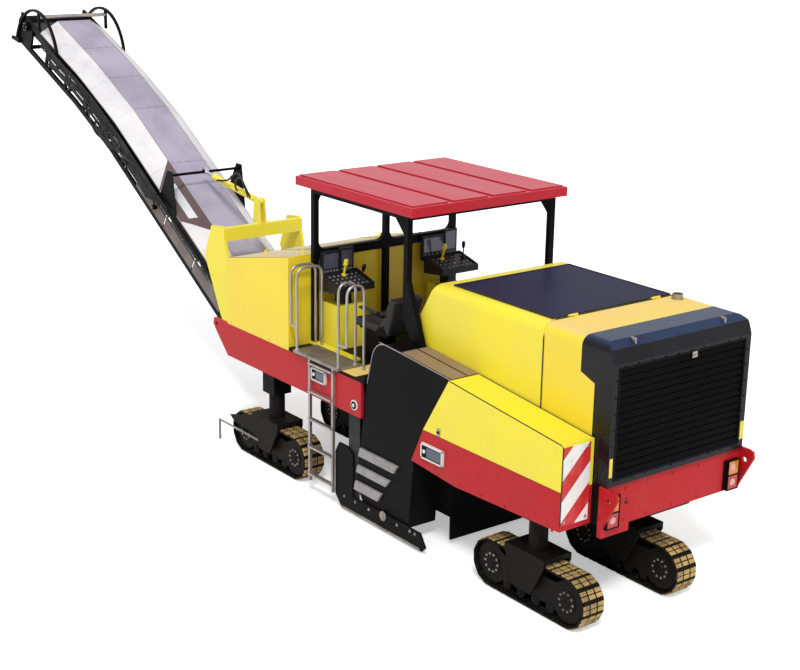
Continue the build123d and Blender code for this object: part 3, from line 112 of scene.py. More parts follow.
# Console trays: their sloping rim line, both sides, and the depth of the rim
TRAY_TOP = ((4.3197, 2.520), (4.6997, 2.620))
TRAYS = ((0.340, 0.880), (-1.290, -0.708))
TRAY_RIM = 0.018

# Upright screens: both sides and the top of each, and their rear faces
SCREENS = ((0.382, 0.586, 2.888), (0.591, 0.850, 2.870), (-1.024, -0.679, 2.870), (-1.237, -1.029, 2.921))
SCREEN_REAR = 4.700

# Discharge conveyor: its top line, the cover's section counted from the middle, and its joints
TOP_LINE = ((6.950, 1.436), (10.800, 3.750), (12.000, 4.335), (14.050, 5.163))
COVER_FLAT = 0.284
COVER_EDGE = 0.570
COVER_DEEP = 0.200
COVER_JOINTS = (8.300, 9.750, 10.860, 11.640, 12.480)
COVER_PLACES = (7.0, 8.5, 10.0, 10.78, 10.9, 11.4, 11.9, 12.1, 12.7, 13.33)

# Slotted panel on the cover: four plates round its slot, along and across
PANEL = (
    ((8.420, 0.286), (9.800, 0.286), (9.700, 0.370), (8.560, 0.370)),
    ((8.560, 0.370), (8.760, 0.370), (8.820, 0.470), (8.720, 0.470)),
    ((9.420, 0.370), (9.700, 0.370), (9.580, 0.470), (9.380, 0.470)),
    ((8.720, 0.470), (9.580, 0.470), (9.460, 0.568), (8.860, 0.568)),
)

# Rollers of the conveyor at head and tail, along and up
ROLLER_HUBS = ((13.90, 4.76), (7.40, 1.32))
ROLLER_CAP = 0.075

# Hoses of the lift cylinder: along, across from their side of the barrel, up
LIFT_SIDE = MIDDLE + 0.060
LIFT_HOSES = (
    ((7.900, -0.020, 2.880), (7.900, 0.050, 3.020), (7.980, 0.080, 3.170),
     (8.130, 0.070, 3.120), (8.200, 0.050, 2.990), (8.240, -0.012, 2.930)),
    ((7.960, -0.020, 2.890), (7.980, 0.030, 3.050), (8.090, 0.050, 3.220),
     (8.260, 0.050, 3.150), (8.420, 0.030, 3.030), (8.780, -0.012, 2.985)),
)

# Conveyor's pipes and clamps along it; a bundled hose from its start: along, sag, across
PIPE_PLACES = (7.9, 8.9, 9.8, 10.7, 10.9, 11.9, 12.1, 13.2)
CLAMPS = (9.4, 10.2, 10.85, 11.5, 12.1, 12.8)
SAGGING = (
    (0.0, 0.0, 0.628), (0.16, 0.055, 0.668), (0.34, 0.110, 0.690),
    (0.52, 0.085, 0.672), (0.70, 0.0, 0.628),
)

# Top line of the front body
BODY_TOP = ((4.828, 2.840), (6.248, 2.545))

# Hood: rear faces of the cap and the bumper, and the grille's opening across and up
CAP_REAR = -0.200
BUMPER_REAR = -0.160
GRILLE = (-1.070, 0.730, 1.560, 2.685)

# Exhaust outlet: its foot, its height and the radius of its pipe
OUTLET = (0.670, MIDDLE - 0.800, 2.9403)
OUTLET_TALL = 0.052
OUTLET_RADIUS = 0.058

# Tops of the platform's deck and of the landing
DECK_TOP = 1.720
LANDING_TOP = 1.750

# Rubber apron: its front face, inner side, foot and top
APRON_FACE = 3.600
APRON_IN = 0.8285
APRON_FOOT = 0.215
APRON_TOP = 1.235

# Side plates: bolts along and up
SKID_BOLTS = ((2.283, 0.200), (2.374, 0.200), (2.612, 0.190), (3.150, 0.190), (3.420, 0.190), (3.640, 0.190))

# Milling drum: its axle along and up, its shell across, its radius, and the turns of each spiral
DRUM_AXLE = (2.900, 0.570)
DRUM_SHELL = (-1.180, 0.800)
DRUM_RADIUS = 0.398
SPIRAL_TURNS = 4.5

BACK = Vector((-1, 0, 0))
OUT = Vector((0, 1, 0))
UP = Vector((0, 0, 1))

# Colour of the road dust on every paint
DUST = (0.30, 0.25, 0.19)


class Value:
    """A shader socket that takes part in Python expressions."""

    def __init__(self, finish, socket):
        self.finish = finish
        self.socket = socket

    def maths(self, operation, *others):
        """One Math node on this value and others."""
        return self.finish.node("ShaderNodeMath", {"operation": operation}, dict(enumerate((self, *others))))

    def __add__(self, other):
        return self.maths("ADD", other)

    def __sub__(self, other):
        return self.maths("SUBTRACT", other)

    def __rsub__(self, other):
        return self.finish.node("ShaderNodeMath", {"operation": "SUBTRACT"}, {0: other, 1: self})

    def __mul__(self, other):
        return self.maths("MULTIPLY", other)

    def __truediv__(self, other):
        return self.maths("DIVIDE", other)

    __radd__ = __add__
    __rmul__ = __mul__

    def wrap(self):
        """What is left of the value after its whole numbers."""
        return self.maths("FRACT")

    def size(self):
        """The value without its sign."""
        return self.maths("ABSOLUTE")


class Nodes:
    """A node tree being made."""

    def __init__(self, tree):
        self.tree = tree

    def node(self, kind, settings=None, inputs=None, output=0):
        """Adds a node with its settings and inputs, and gives one of its outputs."""
        node = self.tree.nodes.new(kind)
        for name, value in (settings or {}).items():
            setattr(node, name, value)
        for key, value in (inputs or {}).items():
            self.feed(node.inputs[key], value)
        return Value(self, node.outputs[output])

    def feed(self, socket, value):
        """Links a value to a socket, or sets the socket to a plain number, colour or object."""
        if isinstance(value, Value):
            self.tree.links.new(value.socket, socket)
        else:
            socket.default_value = value


class Finish(Nodes):
    """A material being made: its node tree, its surface shader and the nodes that feed it."""

    def __init__(self, name):
        self.material = bpy.data.materials.new(name)
        self.material.use_nodes = True
        super().__init__(self.material.node_tree)
        self.surface = self.tree.nodes["Principled BSDF"]

    def set(self, **inputs):
        """Feeds the surface shader, with underscores for the spaces in its socket names."""
        for name, value in inputs.items():
            self.feed(self.surface.inputs[name.replace("_", " ")], value)

    def place(self, stretch=(1, 1, 1)):
        """Place on the object in metres, stretched along its axes."""
        point = self.node("ShaderNodeTexCoord", output=3)
        return self.node("ShaderNodeMapping", {}, {"Vector": point, "Scale": stretch})

    def axes(self, point):
        """The three parts of a vector."""
        split = self.node("ShaderNodeSeparateXYZ", {}, {0: point}).socket.node
        return [Value(self, split.outputs[i]) for i in range(3)]

    def noise(self, scale, detail=4.0, roughness=0.55, stretch=(1, 1, 1)):
        """Clouded noise from 0 to 1."""
        return self.node("ShaderNodeTexNoise", {}, {
            "Vector": self.place(stretch), "Scale": scale, "Detail": detail, "Roughness": roughness})

    def spread(self, value, low, high, to_low=0.0, to_high=1.0):
        """Maps a range of a value on another, held at its ends."""
        return self.node("ShaderNodeMapRange", {"interpolation_type": "SMOOTHSTEP"}, {
            "Value": value, "From Min": low, "From Max": high, "To Min": to_low, "To Max": to_high})

    def mix(self, factor, first, second):
        """Mixes two colours."""
        return self.node("ShaderNodeMix", {"data_type": "RGBA"}, {
            "Factor": factor, 6: colour(first), 7: colour(second)}, output=2)

    def edges(self, radius):
        """1 along the edges of the piece, 0 on its flats."""
        round_normal = self.node("ShaderNodeBevel", {"samples": 4}, {"Radius": radius})
        flat_normal = self.node("ShaderNodeNewGeometry", output=1)
        alike = self.node(
            "ShaderNodeVectorMath", {"operation": "DOT_PRODUCT"}, {0: round_normal, 1: flat_normal}, output=1)
        return self.spread(1 - alike, 0.005, 0.12)

    def bump(self, height, distance, strength):
        """Tilts the surface's normal by a height map."""
        values = {"Height": height, "Distance": distance, "Strength": strength}
        self.set(Normal=self.node("ShaderNodeBump", {}, values))


def colour(value):
    """A colour with its alpha, or the link that carries one."""
    return value if isinstance(value, Value) or len(value) == 4 else (*value, 1.0)


def patches_of(finish, scale=0.9, detail=3.0, roughness=0.55):
    """Soft large patches, 0 or 1 with wide borders."""
    return finish.spread(finish.noise(scale, detail, roughness), 0.35, 0.7)


def painted(name, base, faded, roughness, dirt, gloss=0.35, wear_and_highlight=(0.16, 0.13, 0.11)):
    """Paint that fades in patches, gathers dust low down and wears along its edges."""
    finish = Finish(name)
    patches = patches_of(finish)
    streaks = finish.spread(finish.noise(2.5, 6.0, 0.65, (1.0, 1.0, 0.18)), 0.5, 0.75)
    grain = finish.noise(38.0, 8.0, 0.7)
    paint = finish.mix(patches * 0.6, base, faded)
    dust = (streaks * 0.35 + low_down(finish) * 0.45) * finish.spread(grain, 0.35, 0.62) * dirt
    dusty_and_shaded = finish.mix(dust, paint, DUST)
    chips = finish.edges(0.006) * finish.spread(finish.noise(14.0, 6.0, 0.7), 0.52, 0.6)
    finish.set(
        Base_Color=finish.mix(chips * 0.7, dusty_and_shaded, wear_and_highlight),
        Roughness=finish.spread(dust, 0.0, 0.5, roughness, min(roughness + 0.35, 0.85)) + chips * 0.2,
        Specular_IOR_Level=gloss,
        Coat_Weight=gloss * 0.2,
        Coat_Roughness=0.25,
    )
    finish.bump(grain * 0.4 + patches, 0.0008, 0.35)
    return finish.material


def bare_metal(name, base, dark, roughness, metallic):
    """Bare or galvanised metal with a fine grain and dull patches."""
    finish = Finish(name)
    patches = patches_of(finish, 3.0, 4.0)
    streaks = finish.noise(30.0, 5.0, 0.6)
    finish.set(
        Base_Color=finish.mix(patches * 0.7, base, dark),
        Metallic=metallic,
        Roughness=finish.spread(streaks, 0.3, 0.7, roughness, roughness + 0.2),
    )
    finish.bump(streaks, 0.0006, 0.4)
    return finish.material


def rubber(name, base, dust):
    """Matt rubber with a fine grain and pale dust."""
    finish = Finish(name)
    grain = finish.noise(90.0, 5.0)
    patches = finish.spread(finish.noise(2.2, 5.0, 0.6), 0.45, 0.72)
    finish.set(
        Base_Color=finish.mix(patches * 0.5, base, dust),
        Roughness=finish.spread(grain, 0.3, 0.7, 0.6, 0.85))
    finish.bump(grain, 0.001, 0.5)
    return finish.material


def shoe_with_highlight(name):
    """Tan shoes of cast steel, darker in random patches, with a painted highlight on every ridge and edge."""
    finish = Finish(name)
    patches = finish.spread(finish.noise(5.0, 6.0, 0.65), 0.35, 0.68)
    grain = finish.noise(60.0, 8.0, 0.7)
    tan = finish.mix(patches, (0.52, 0.35, 0.115), (0.20, 0.125, 0.045))
    # Painted highlight: the shoe's edges are mixed towards a pale tan.
    wear_and_highlight = finish.edges(0.008)
    finish.set(
        Base_Color=finish.mix(wear_and_highlight * 0.6, tan, (0.60, 0.46, 0.24)),
        Metallic=0.25,
        Roughness=finish.spread(grain, 0.3, 0.7, 0.45, 0.8),
    )
    finish.bump(grain * 0.5 + patches, 0.002, 0.6)
    return finish.material


def tread_plate(name):
    """Chequered aluminium: raised dashes in two directions."""
    finish = Finish(name)
    x, y, z = finish.axes(finish.place((28, 28, 28)))
    slant = ((x + y + z).wrap() - 0.5).size()
    cross = ((x - y + z).wrap() - 0.5).size()
    dashes = finish.spread(slant, 0.32, 0.2) * finish.spread(cross, 0.2, 0.1)
    dirt = finish.spread(finish.noise(7.0, 6.0, 0.65), 0.4, 0.7)
    finish.set(
        Base_Color=finish.mix(dirt, (0.36, 0.35, 0.36), (0.26, 0.25, 0.24)),
        Metallic=0.35, Roughness=finish.spread(dashes, 0.0, 1.0, 0.65, 0.5))
    finish.bump(dashes, 0.002, 0.8)
    return finish.material


def leather(name):
    """Black seat cover with a fine pebbled grain."""
    finish = Finish(name)
    cells = {"Vector": finish.place(), "Scale": 260.0}
    grain = finish.node("ShaderNodeTexVoronoi", {"feature": "SMOOTH_F1"}, cells)
    soft = patches_of(finish, 4.0, 4.0)
    finish.set(
        Base_Color=finish.mix(soft, (0.010, 0.010, 0.012), (0.024, 0.023, 0.023)),
        Roughness=finish.spread(soft, 0, 1, 0.42, 0.6))
    finish.bump(grain, 0.0008, 0.6)
    return finish.material


def glow(name, base, roughness=0.12, emission=0.0):
    """Lamp or reflector plastic with fine prisms."""
    finish = Finish(name)
    x, y, z = finish.axes(finish.place((90, 90, 90)))
    prisms = (x.wrap() + y.wrap() + z.wrap()) / 3
    finish.set(
        Base_Color=finish.mix(prisms, base, tuple(c * 0.6 for c in base)), Roughness=roughness,
        Emission_Color=(*base, 1.0), Emission_Strength=emission, Coat_Weight=0.5)
    finish.bump(prisms, 0.001, 0.4)
    return finish.material


def cover_sheet(name):
    """Pale sheet metal with painted light and shade: lavender-grey on the flat top, white on both slanted
    flanks.
    """
    finish = Finish(name)
    across = finish.axes(finish.place())[1]
    # Painted light and shade: the flanks are painted white as lit faces, the top a darker lavender-grey.
    flank = finish.spread((across - MIDDLE).size(), COVER_FLAT - 0.004, COVER_FLAT + 0.004)
    patches = patches_of(finish, 1.3, 5.0, 0.6)
    streaks = finish.spread(finish.noise(6.0, 6.0, 0.65, (0.3, 1.0, 1.0)), 0.45, 0.75)
    top = finish.mix(patches, (0.40, 0.37, 0.47), (0.30, 0.27, 0.36))
    sheet = finish.mix(flank, top, finish.mix(patches, (0.74, 0.73, 0.73), (0.60, 0.59, 0.63)))
    finish.set(
        Base_Color=finish.mix(streaks * 0.25, sheet, (0.42, 0.34, 0.36)), Metallic=0.10,
        Roughness=finish.spread(streaks, 0, 1, 0.40, 0.6))
    finish.bump(patches + streaks, 0.001, 0.3)
    return finish.material


def hazard_plate(name):
    """White plate with red bars that rise to the right as seen from behind."""
    finish = Finish(name)
    across, up = finish.axes(finish.place())[1:]
    slanted = (across + up - 2.06) / 0.44
    bars = finish.spread((slanted.wrap() - 0.5).size(), 0.245, 0.255)
    dirt = finish.spread(finish.noise(12.0, 6.0, 0.65), 0.45, 0.75)
    paint = finish.mix(bars, (0.55, 0.02, 0.02), (0.80, 0.78, 0.75))
    finish.set(
        Base_Color=finish.mix(dirt * 0.3, paint, (0.35, 0.28, 0.22)),
        Roughness=finish.spread(dirt, 0, 1, 0.3, 0.6))
    finish.bump(dirt, 0.0006, 0.3)
    return finish.material


def facing_up(finish):
    """1 on faces that look up, 0 on upright ones."""
    way = finish.axes(finish.node("ShaderNodeNewGeometry", output=1))[2]
    return finish.spread(way, 0.55, 0.9)


def low_down(finish):
    """1 near the ground, 0 above the machine's waist."""
    return finish.spread(finish.axes(finish.place())[2], 2.4, 0.3)


def dusty_top(name, pale, deep):
    """Yellow paint with a pale coat of dust on its upper faces."""
    finish = Finish(name)
    patches = patches_of(finish)
    drifts = finish.spread(finish.noise(1.7, 6.0, 0.6), 0.3, 0.62)
    grain = finish.noise(38.0, 8.0, 0.7)
    paint = finish.mix(patches * 0.6, (0.86, 0.66, 0.022), (0.80, 0.62, 0.05))
    dusty_and_shaded = finish.mix(low_down(finish) * finish.spread(grain, 0.35, 0.62) * 0.4, paint, DUST)
    coat = facing_up(finish) * finish.spread(drifts, 0, 1, 0.72, 1.0)
    beige = finish.mix(finish.spread(grain, 0.3, 0.7), pale, deep)
    finish.set(Base_Color=finish.mix(coat, dusty_and_shaded, beige), Roughness=finish.spread(coat, 0, 1, 0.35, 0.85))
    finish.bump(grain * 0.4 + patches, 0.0008, 0.35)
    return finish.material


def roof_sheet(name):
    """Red fascia, and a roof sheet that is paler and pinker on the faces that look up."""
    finish = Finish(name)
    patches = patches_of(finish, 1.1, 4.0)
    streaks = finish.spread(finish.noise(3.0, 6.0, 0.65, (0.25, 1.0, 1.0)), 0.4, 0.72)
    fascia = finish.mix(patches * 0.5, (0.48, 0.010, 0.025), (0.44, 0.02, 0.035))
    pink_top = finish.mix(streaks * 0.6, (0.52, 0.060, 0.085), (0.58, 0.13, 0.16))
    finish.set(
        Base_Color=finish.mix(facing_up(finish), fascia, pink_top),
        Roughness=finish.spread(streaks, 0, 1, 0.34, 0.55),
        Specular_IOR_Level=0.2, Coat_Weight=0.05, Coat_Roughness=0.3)
    finish.bump(patches + streaks * 0.4, 0.001, 0.3)
    return finish.material


def cap_gloss(name):
    """Deep gloss black, with a painted blue reflection of the sky on its upper faces."""
    finish = Finish(name)
    patches = patches_of(finish, 1.2, 4.0)
    grain = finish.noise(45.0, 6.0, 0.65)
    black = finish.mix(patches, (0.004, 0.004, 0.005), (0.008, 0.008, 0.010))
    # Painted reflection of the sky on the faces that look up.
    sky_reflection_blue = finish.mix(patches, (0.006, 0.018, 0.060), (0.010, 0.026, 0.075))
    finish.set(
        Base_Color=finish.mix(facing_up(finish), black, sky_reflection_blue),
        Roughness=finish.spread(grain, 0.3, 0.7, 0.22, 0.34),
        Specular_IOR_Level=0.22, Coat_Weight=0.06, Coat_Roughness=0.15)
    finish.bump(grain, 0.0004, 0.25)
    return finish.material


# Paints: fresh and faded colour, roughness, share of dirt, gloss, and bare edges where they differ
PAINTS = {
    "yellow_paint": ((0.86, 0.73, 0.030), (0.80, 0.67, 0.075), 0.34, 0.4),
    "red_paint": ((0.46, 0.005, 0.012), (0.42, 0.010, 0.016), 0.36, 0.16, 0.18),
    "black_paint": ((0.003, 0.003, 0.0035), (0.006, 0.0055, 0.0065), 0.38, 0.03, 0.05, (0.08, 0.07, 0.065)),
    "roof_red": ((0.66, 0.10, 0.13), (0.62, 0.17, 0.19), 0.4, 0.3),
    "navy_panel": ((0.010, 0.009, 0.040), (0.014, 0.013, 0.045), 0.46, 0.03, 0.08, (0.12, 0.12, 0.16)),
    "grille_black": ((0.0025, 0.0025, 0.003), (0.005, 0.005, 0.0055), 0.42, 0.02, 0.03, (0.02, 0.02, 0.02)),
    "track_steel": ((0.004, 0.004, 0.0045), (0.009, 0.008, 0.008), 0.42, 0.06, 0.06, (0.14, 0.12, 0.09)),
    "console_black": ((0.010, 0.010, 0.013), (0.02, 0.019, 0.024), 0.38, 0.12, 0.18),
    "engine_grey": ((0.10, 0.10, 0.10), (0.07, 0.07, 0.07), 0.5, 0.9),
    # The drive cover's top strip: its yellow darkened to tan as painted shade
    "dusty_tan": ((0.25, 0.16, 0.085), (0.33, 0.24, 0.14), 0.7, 0.6),
    "panel_brown": ((0.105, 0.070, 0.074), (0.15, 0.115, 0.11), 0.5, 0.3, 0.12),
    "box_white": ((0.74, 0.72, 0.68), (0.62, 0.60, 0.56), 0.4, 0.3),
    "key_white": ((0.20, 0.20, 0.21), (0.13, 0.13, 0.14), 0.4, 0.2),
    "key_green": ((0.05, 0.30, 0.08), (0.06, 0.22, 0.07), 0.4, 0.2),
}

# Bare metals: bright and dull colour, roughness, share of metal
METALS = {
    "silver_metal": ((0.50, 0.46, 0.43), (0.34, 0.30, 0.27), 0.3, 0.85),
    "drum_steel": ((0.12, 0.105, 0.09), (0.06, 0.05, 0.04), 0.5, 0.7),
    "rod_chrome": ((0.72, 0.72, 0.74), (0.6, 0.6, 0.62), 0.08, 1.0),
    "worn_steel": ((0.40, 0.37, 0.33), (0.16, 0.13, 0.11), 0.42, 0.75),
}

# Rubbers, and soot with painted shade: own colour, and the colour of the dust on them
RUBBERS = {
    "belt_rubber": ((0.018, 0.018, 0.019), (0.09, 0.085, 0.08)),
    "skirt_grey": ((0.16, 0.13, 0.12), (0.30, 0.25, 0.22)),
    "rubber_seal": ((0.015, 0.015, 0.015), (0.05, 0.05, 0.045)),
    "hose_rubber": ((0.012, 0.012, 0.013), (0.06, 0.055, 0.05)),
    "soot": ((0.006, 0.006, 0.006), (0.02, 0.018, 0.016)),
}

# Lenses and screens: colour, and roughness and glow where they differ
LENSES = {
    "lamp_red": ((0.60, 0.012, 0.012),),
    "lamp_amber": ((0.85, 0.26, 0.01),),
    "lamp_clear": ((0.75, 0.40, 0.36),),
    "reflector": ((0.85, 0.66, 0.02),),
    # The screens' glass and the boxes' windows glow faintly: a painted glow, not a lamp.
    "screen_glass": ((0.055, 0.065, 0.11), 0.08, 0.15),
}

# Yellow tops: the colours of the thin and the thick dust
YELLOW_TOPS = {
    "dusty_yellow": ((0.66, 0.55, 0.36), (0.58, 0.50, 0.38)),
    "sunned_yellow": ((0.80, 0.57, 0.15), (0.76, 0.56, 0.19)),
}

# Finishes that one kind of surface has to itself
SINGLE = {
    "cover_grey": cover_sheet, "track_shoe": shoe_with_highlight, "seat_cover": leather, "tread_grey": tread_plate,
    "plate_white": hazard_plate, "roof_sheet": roof_sheet, "cap_gloss": cap_gloss,
}


def make_finishes(settings):
    """One material for each slot of the record, and a few for small pieces."""
    chosen = {"yellow_paint": settings.body_colour, "red_paint": settings.base_colour}
    made = {name: single(name) for name, single in SINGLE.items()}
    for name, (base, *values) in PAINTS.items():
        made[name] = painted(name, chosen.get(name, base), *values)
    for kind, table in ((bare_metal, METALS), (rubber, RUBBERS), (glow, LENSES), (dusty_top, YELLOW_TOPS)):
        for name, values in table.items():
            made[name] = kind(name, *values)
    return made


FINISHES = {}

# Nodes whose finish is not simply that of their slot
SPECIAL = {
    "front_body": "dusty_yellow", "canopy_roof": "roof_sheet", "hood_cap": "cap_gloss",
    "hood_rear": "sunned_yellow", "landing": "worn_steel", "tip_hoops": "black_paint",
}


def dress(piece, slot, body, finish=None):
    """Gives a new piece its finish, the slot's own unless another is named, and the body that it rides on."""
    piece.data.materials.clear()
    piece.data.materials.append(FINISHES[finish or slot])
    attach(piece, body)


def place_object(name, data):
    """Puts a mesh, curve, lamp or camera in the scene as an object at the origin."""
    piece = bpy.data.objects.new(name, data)
    bpy.context.scene.collection.objects.link(piece)
    return piece


def stand(name, mesh):
    """Puts a mesh in the scene, smooth apart from its corners."""
    mesh.polygons.foreach_set("use_smooth", [True] * len(mesh.polygons))
    mesh.set_sharp_from_angle(angle=math.radians(35))
    return place_object(name, mesh)


def mesh_piece(name, shape, bevel=0.0):
    """Turns a bmesh into an object at the origin, with its corners broken by a small bevel."""
    bmesh.ops.recalc_face_normals(shape, faces=shape.faces)
    mesh = bpy.data.meshes.new(name)
    shape.to_mesh(mesh)
    shape.free()
    piece = stand(name, mesh)
    if bevel:
        edge = piece.modifiers.new("edges", "BEVEL")
        edge.width = bevel
        edge.segments = 2
        edge.limit_method = "ANGLE"
        edge.angle_limit = math.radians(40)
    return piece


def add(name, shape, slot, body, finish=None, bevel=0.0):
    """Makes a mesh piece with its finish, the slot's unless another is named, and its body."""
    dress(mesh_piece(name, shape, bevel), slot, body, finish)


def final_mesh(holder):
    """The mesh that an object's modifiers or bevel leave; the object itself goes."""
    graph = bpy.context.evaluated_depsgraph_get()
    mesh = bpy.data.meshes.new_from_object(holder.evaluated_get(graph))
    bpy.data.objects.remove(holder)
    return mesh


def spot(along, across, up):
    """A place counted from the wing's rear face, in the frame's metres across and up."""
    return Vector((REAR + along, across, up))


def height_on(line, along, lift=0.0):
    """Height of a sloping line, given by its two ends, at a place along the machine."""
    (x0, z0), (x1, z1) = line
    return z0 + (along - x0) / (x1 - x0) * (z1 - z0) + lift


def normal_of(line):
    """The way up that is square to a sloping line."""
    (x0, z0), (x1, z1) = line
    return Vector((z0 - z1, 0, x1 - x0)).normalized()


def on_cover(along, across, lift=0.0):
    """A place on the conveyor cover, counted from its middle and lifted off its face."""
    for start, end in zip(TOP_LINE, TOP_LINE[1:]):
        if along <= end[0]:
            break
    slope = math.atan2(end[1] - start[1], end[0] - start[0])
    height = start[1] + (along - start[0]) * math.tan(slope)
    fall = max(0.0, abs(across) - COVER_FLAT) / (COVER_EDGE - COVER_FLAT) * COVER_DEEP
    deep = lift - fall
    return spot(along - math.sin(slope) * deep, MIDDLE + across, height + math.cos(slope) * deep)


def box(shape, low, high):
    """Adds a block between two corners."""
    low, high = Vector(low), Vector(high)
    corners = bmesh.ops.create_cube(shape, size=1.0)["verts"]
    bmesh.ops.scale(shape, vec=high - low, verts=corners)
    bmesh.ops.translate(shape, vec=(low + high) / 2, verts=corners)


def slab(shape, x0, x1, y0, y1, z0, z1):
    """Adds a block whose place along the machine is counted from the wing's rear face."""
    box(shape, spot(x0, y0, z0), spot(x1, y1, z1))


def rim(shape, x0, x1, across, up, wide, tall):
    """Adds four strips, so wide and tall, round an opening with its sides across and up."""
    (y0, y1), (z0, z1) = across, up
    slab(shape, x0, x1, y0 - wide, y1 + wide, z0 - tall, z0)
    slab(shape, x0, x1, y0 - wide, y1 + wide, z1, z1 + tall)
    slab(shape, x0, x1, y0 - wide, y0, z0, z1)
    slab(shape, x0, x1, y1, y1 + wide, z0, z1)


def prism(shape, outline, y0, y1):
    """Adds a plate whose side outline is given as places along the machine and heights."""
    loft(shape, [spot(x, y1, z) for x, z in outline], [spot(x, y0, z) for x, z in outline])


def loft(shape, near, far):
    """Adds a closed form between two outlines with as many corners."""
    near = [shape.verts.new(place) for place in near]
    far = [shape.verts.new(place) for place in far]
    shape.faces.new(near)
    shape.faces.new(far[::-1])
    for i in range(len(near)):
        j = (i + 1) % len(near)
        shape.faces.new((near[j], near[i], far[i], far[j]))


def bar(shape, start, end, radius, sides=20, tip=None):
    """Adds a round bar or a cone between two places."""
    start, end = Vector(start), Vector(end)
    turn = (end - start).to_track_quat("Z", "Y").to_matrix().to_4x4()
    turn.translation = (start + end) / 2
    bmesh.ops.create_cone(
        shape, cap_ends=True, segments=sides, radius1=radius, radius2=radius if tip is None else tip,
        depth=(end - start).length, matrix=turn)


def oblong(along, across, half_along, half_across, up):
    """Four corners of a level rectangle round a place."""
    return [
        Vector((along + x * half_along, across + y * half_across, up))
        for x, y in ((1, 1), (-1, 1), (-1, -1), (1, -1))]


def wheel(count, radius):
    """Evenly spaced places on an upright circle along the machine, round the origin."""
    turns = [math.tau * i / count for i in range(count)]
    return [Vector((math.cos(turn), 0, math.sin(turn))) * radius for turn in turns]


def rounded(points, corner, steps=6):
    """A route with an arc in place of each corner."""
    route = [points[0]]
    for before, point, after in zip(points, points[1:], points[2:]):
        back, ahead = (before - point).normalized(), (after - point).normalized()
        for i in range(steps + 1):
            share = i / steps
            route.append(point + back * corner * (1 - share) ** 2 + ahead * corner * share ** 2)
    return route + [points[-1]]


def curve_piece(name, routes, kind="POLY"):
    """A curve object with one spline through each route."""
    curve = bpy.data.curves.new(name, "CURVE")
    curve.dimensions = "3D"
    for route in routes:
        spline = curve.splines.new(kind)
        spline.points.add(len(route) - 1)
        for place, point in zip(route, spline.points):
            point.co = (*place, 1.0)
    return place_object(name, curve)


def tube(name, routes, radius, corner=0.0, soft=False):
    """Bent tubes, or hoses on smooth curves, along each route."""
    if corner:
        routes = [rounded(route, corner) for route in routes]
    holder = curve_piece(name, routes, "NURBS" if soft else "POLY")
    curve = holder.data
    curve.bevel_depth = radius
    curve.bevel_resolution = 3
    curve.resolution_u = 5
    curve.use_fill_caps = True
    if soft:
        for spline in curve.splines:
            spline.order_u = 3
            spline.use_endpoint_u = True
    return stand(name, final_mesh(holder))


class Pattern(Nodes):
    """A geometry tree with named inputs that repeats a template on points."""

    def __init__(self, name):
        super().__init__(bpy.data.node_groups.new(name, "GeometryNodeTree"))
        face = self.tree.interface
        kinds = {"Geometry": "Geometry", "Template": "Object", "Finish": "Material", "Count": "Int"}
        for label, kind in kinds.items():
            face.new_socket(label, in_out="INPUT", socket_type="NodeSocket" + kind)
        face.new_socket("Geometry", in_out="OUTPUT", socket_type="NodeSocketGeometry")
        entry = self.tree.nodes.new("NodeGroupInput")
        self.geometry, self.template, self.finish, self.count = (
            Value(self, entry.outputs[label]) for label in kinds)

    def repeat(self, points, turn):
        """Ends the tree: instances on the points, made real, with their material."""
        template = self.node(
            "GeometryNodeObjectInfo", {"transform_space": "ORIGINAL"}, {"Object": self.template})
        whole = Value(self, template.socket.node.outputs["Geometry"])
        copies = self.node(
            "GeometryNodeInstanceOnPoints", {}, {"Points": points, "Instance": whole, "Rotation": turn})
        real = self.node("GeometryNodeRealizeInstances", {}, {"Geometry": copies})
        dressed = self.node("GeometryNodeSetMaterial", {}, {"Geometry": real, "Material": self.finish})
        result = self.tree.nodes.new("NodeGroupOutput")
        self.feed(result.inputs[0], dressed)

    def grow(self, name, holder, template, finish, count=0):
        """Runs the tree on a holder and gives the result as a plain mesh object."""
        modifier = holder.modifiers.new("pattern", "NODES")
        modifier.node_group = self.tree
        values = {"Template": template, "Finish": FINISHES[finish], "Count": count}
        for socket in self.tree.interface.items_tree:
            if socket.in_out == "INPUT" and socket.name in values:
                modifier[socket.identifier] = values[socket.name]
        mesh = final_mesh(holder)
        bpy.data.objects.remove(template)
        return stand(name, mesh)


def spots_tree():
    """Repeats a template at points that carry the direction they face."""
    tree = Pattern("at_spots")
    facing = tree.node("GeometryNodeInputNamedAttribute", {"data_type": "FLOAT_VECTOR"}, {"Name": "facing"})
    turn = tree.node("FunctionNodeAlignRotationToVector", {"axis": "Z"}, {"Vector": facing})
    tree.repeat(tree.geometry, turn)
    return tree


def round_tree():
    """Repeats a template evenly along a closed curve that lies in an upright plane."""
    tree = Pattern("round_curve")
    points = tree.node(
        "GeometryNodeCurveToPoints", {"mode": "COUNT"}, {"Curve": tree.geometry, "Count": tree.count})
    tangent = Value(tree, points.socket.node.outputs["Tangent"])
    turn = tree.node(
        "FunctionNodeAlignRotationToVector", {"axis": "X", "pivot_axis": "Y"}, {"Vector": tangent})
    tree.repeat(points, turn)
    return tree


TREES = {}


def template_of(draw):
    """A helper object that holds one small form drawn at the origin."""
    shape = bmesh.new()
    draw(shape)
    return mesh_piece("template", shape)


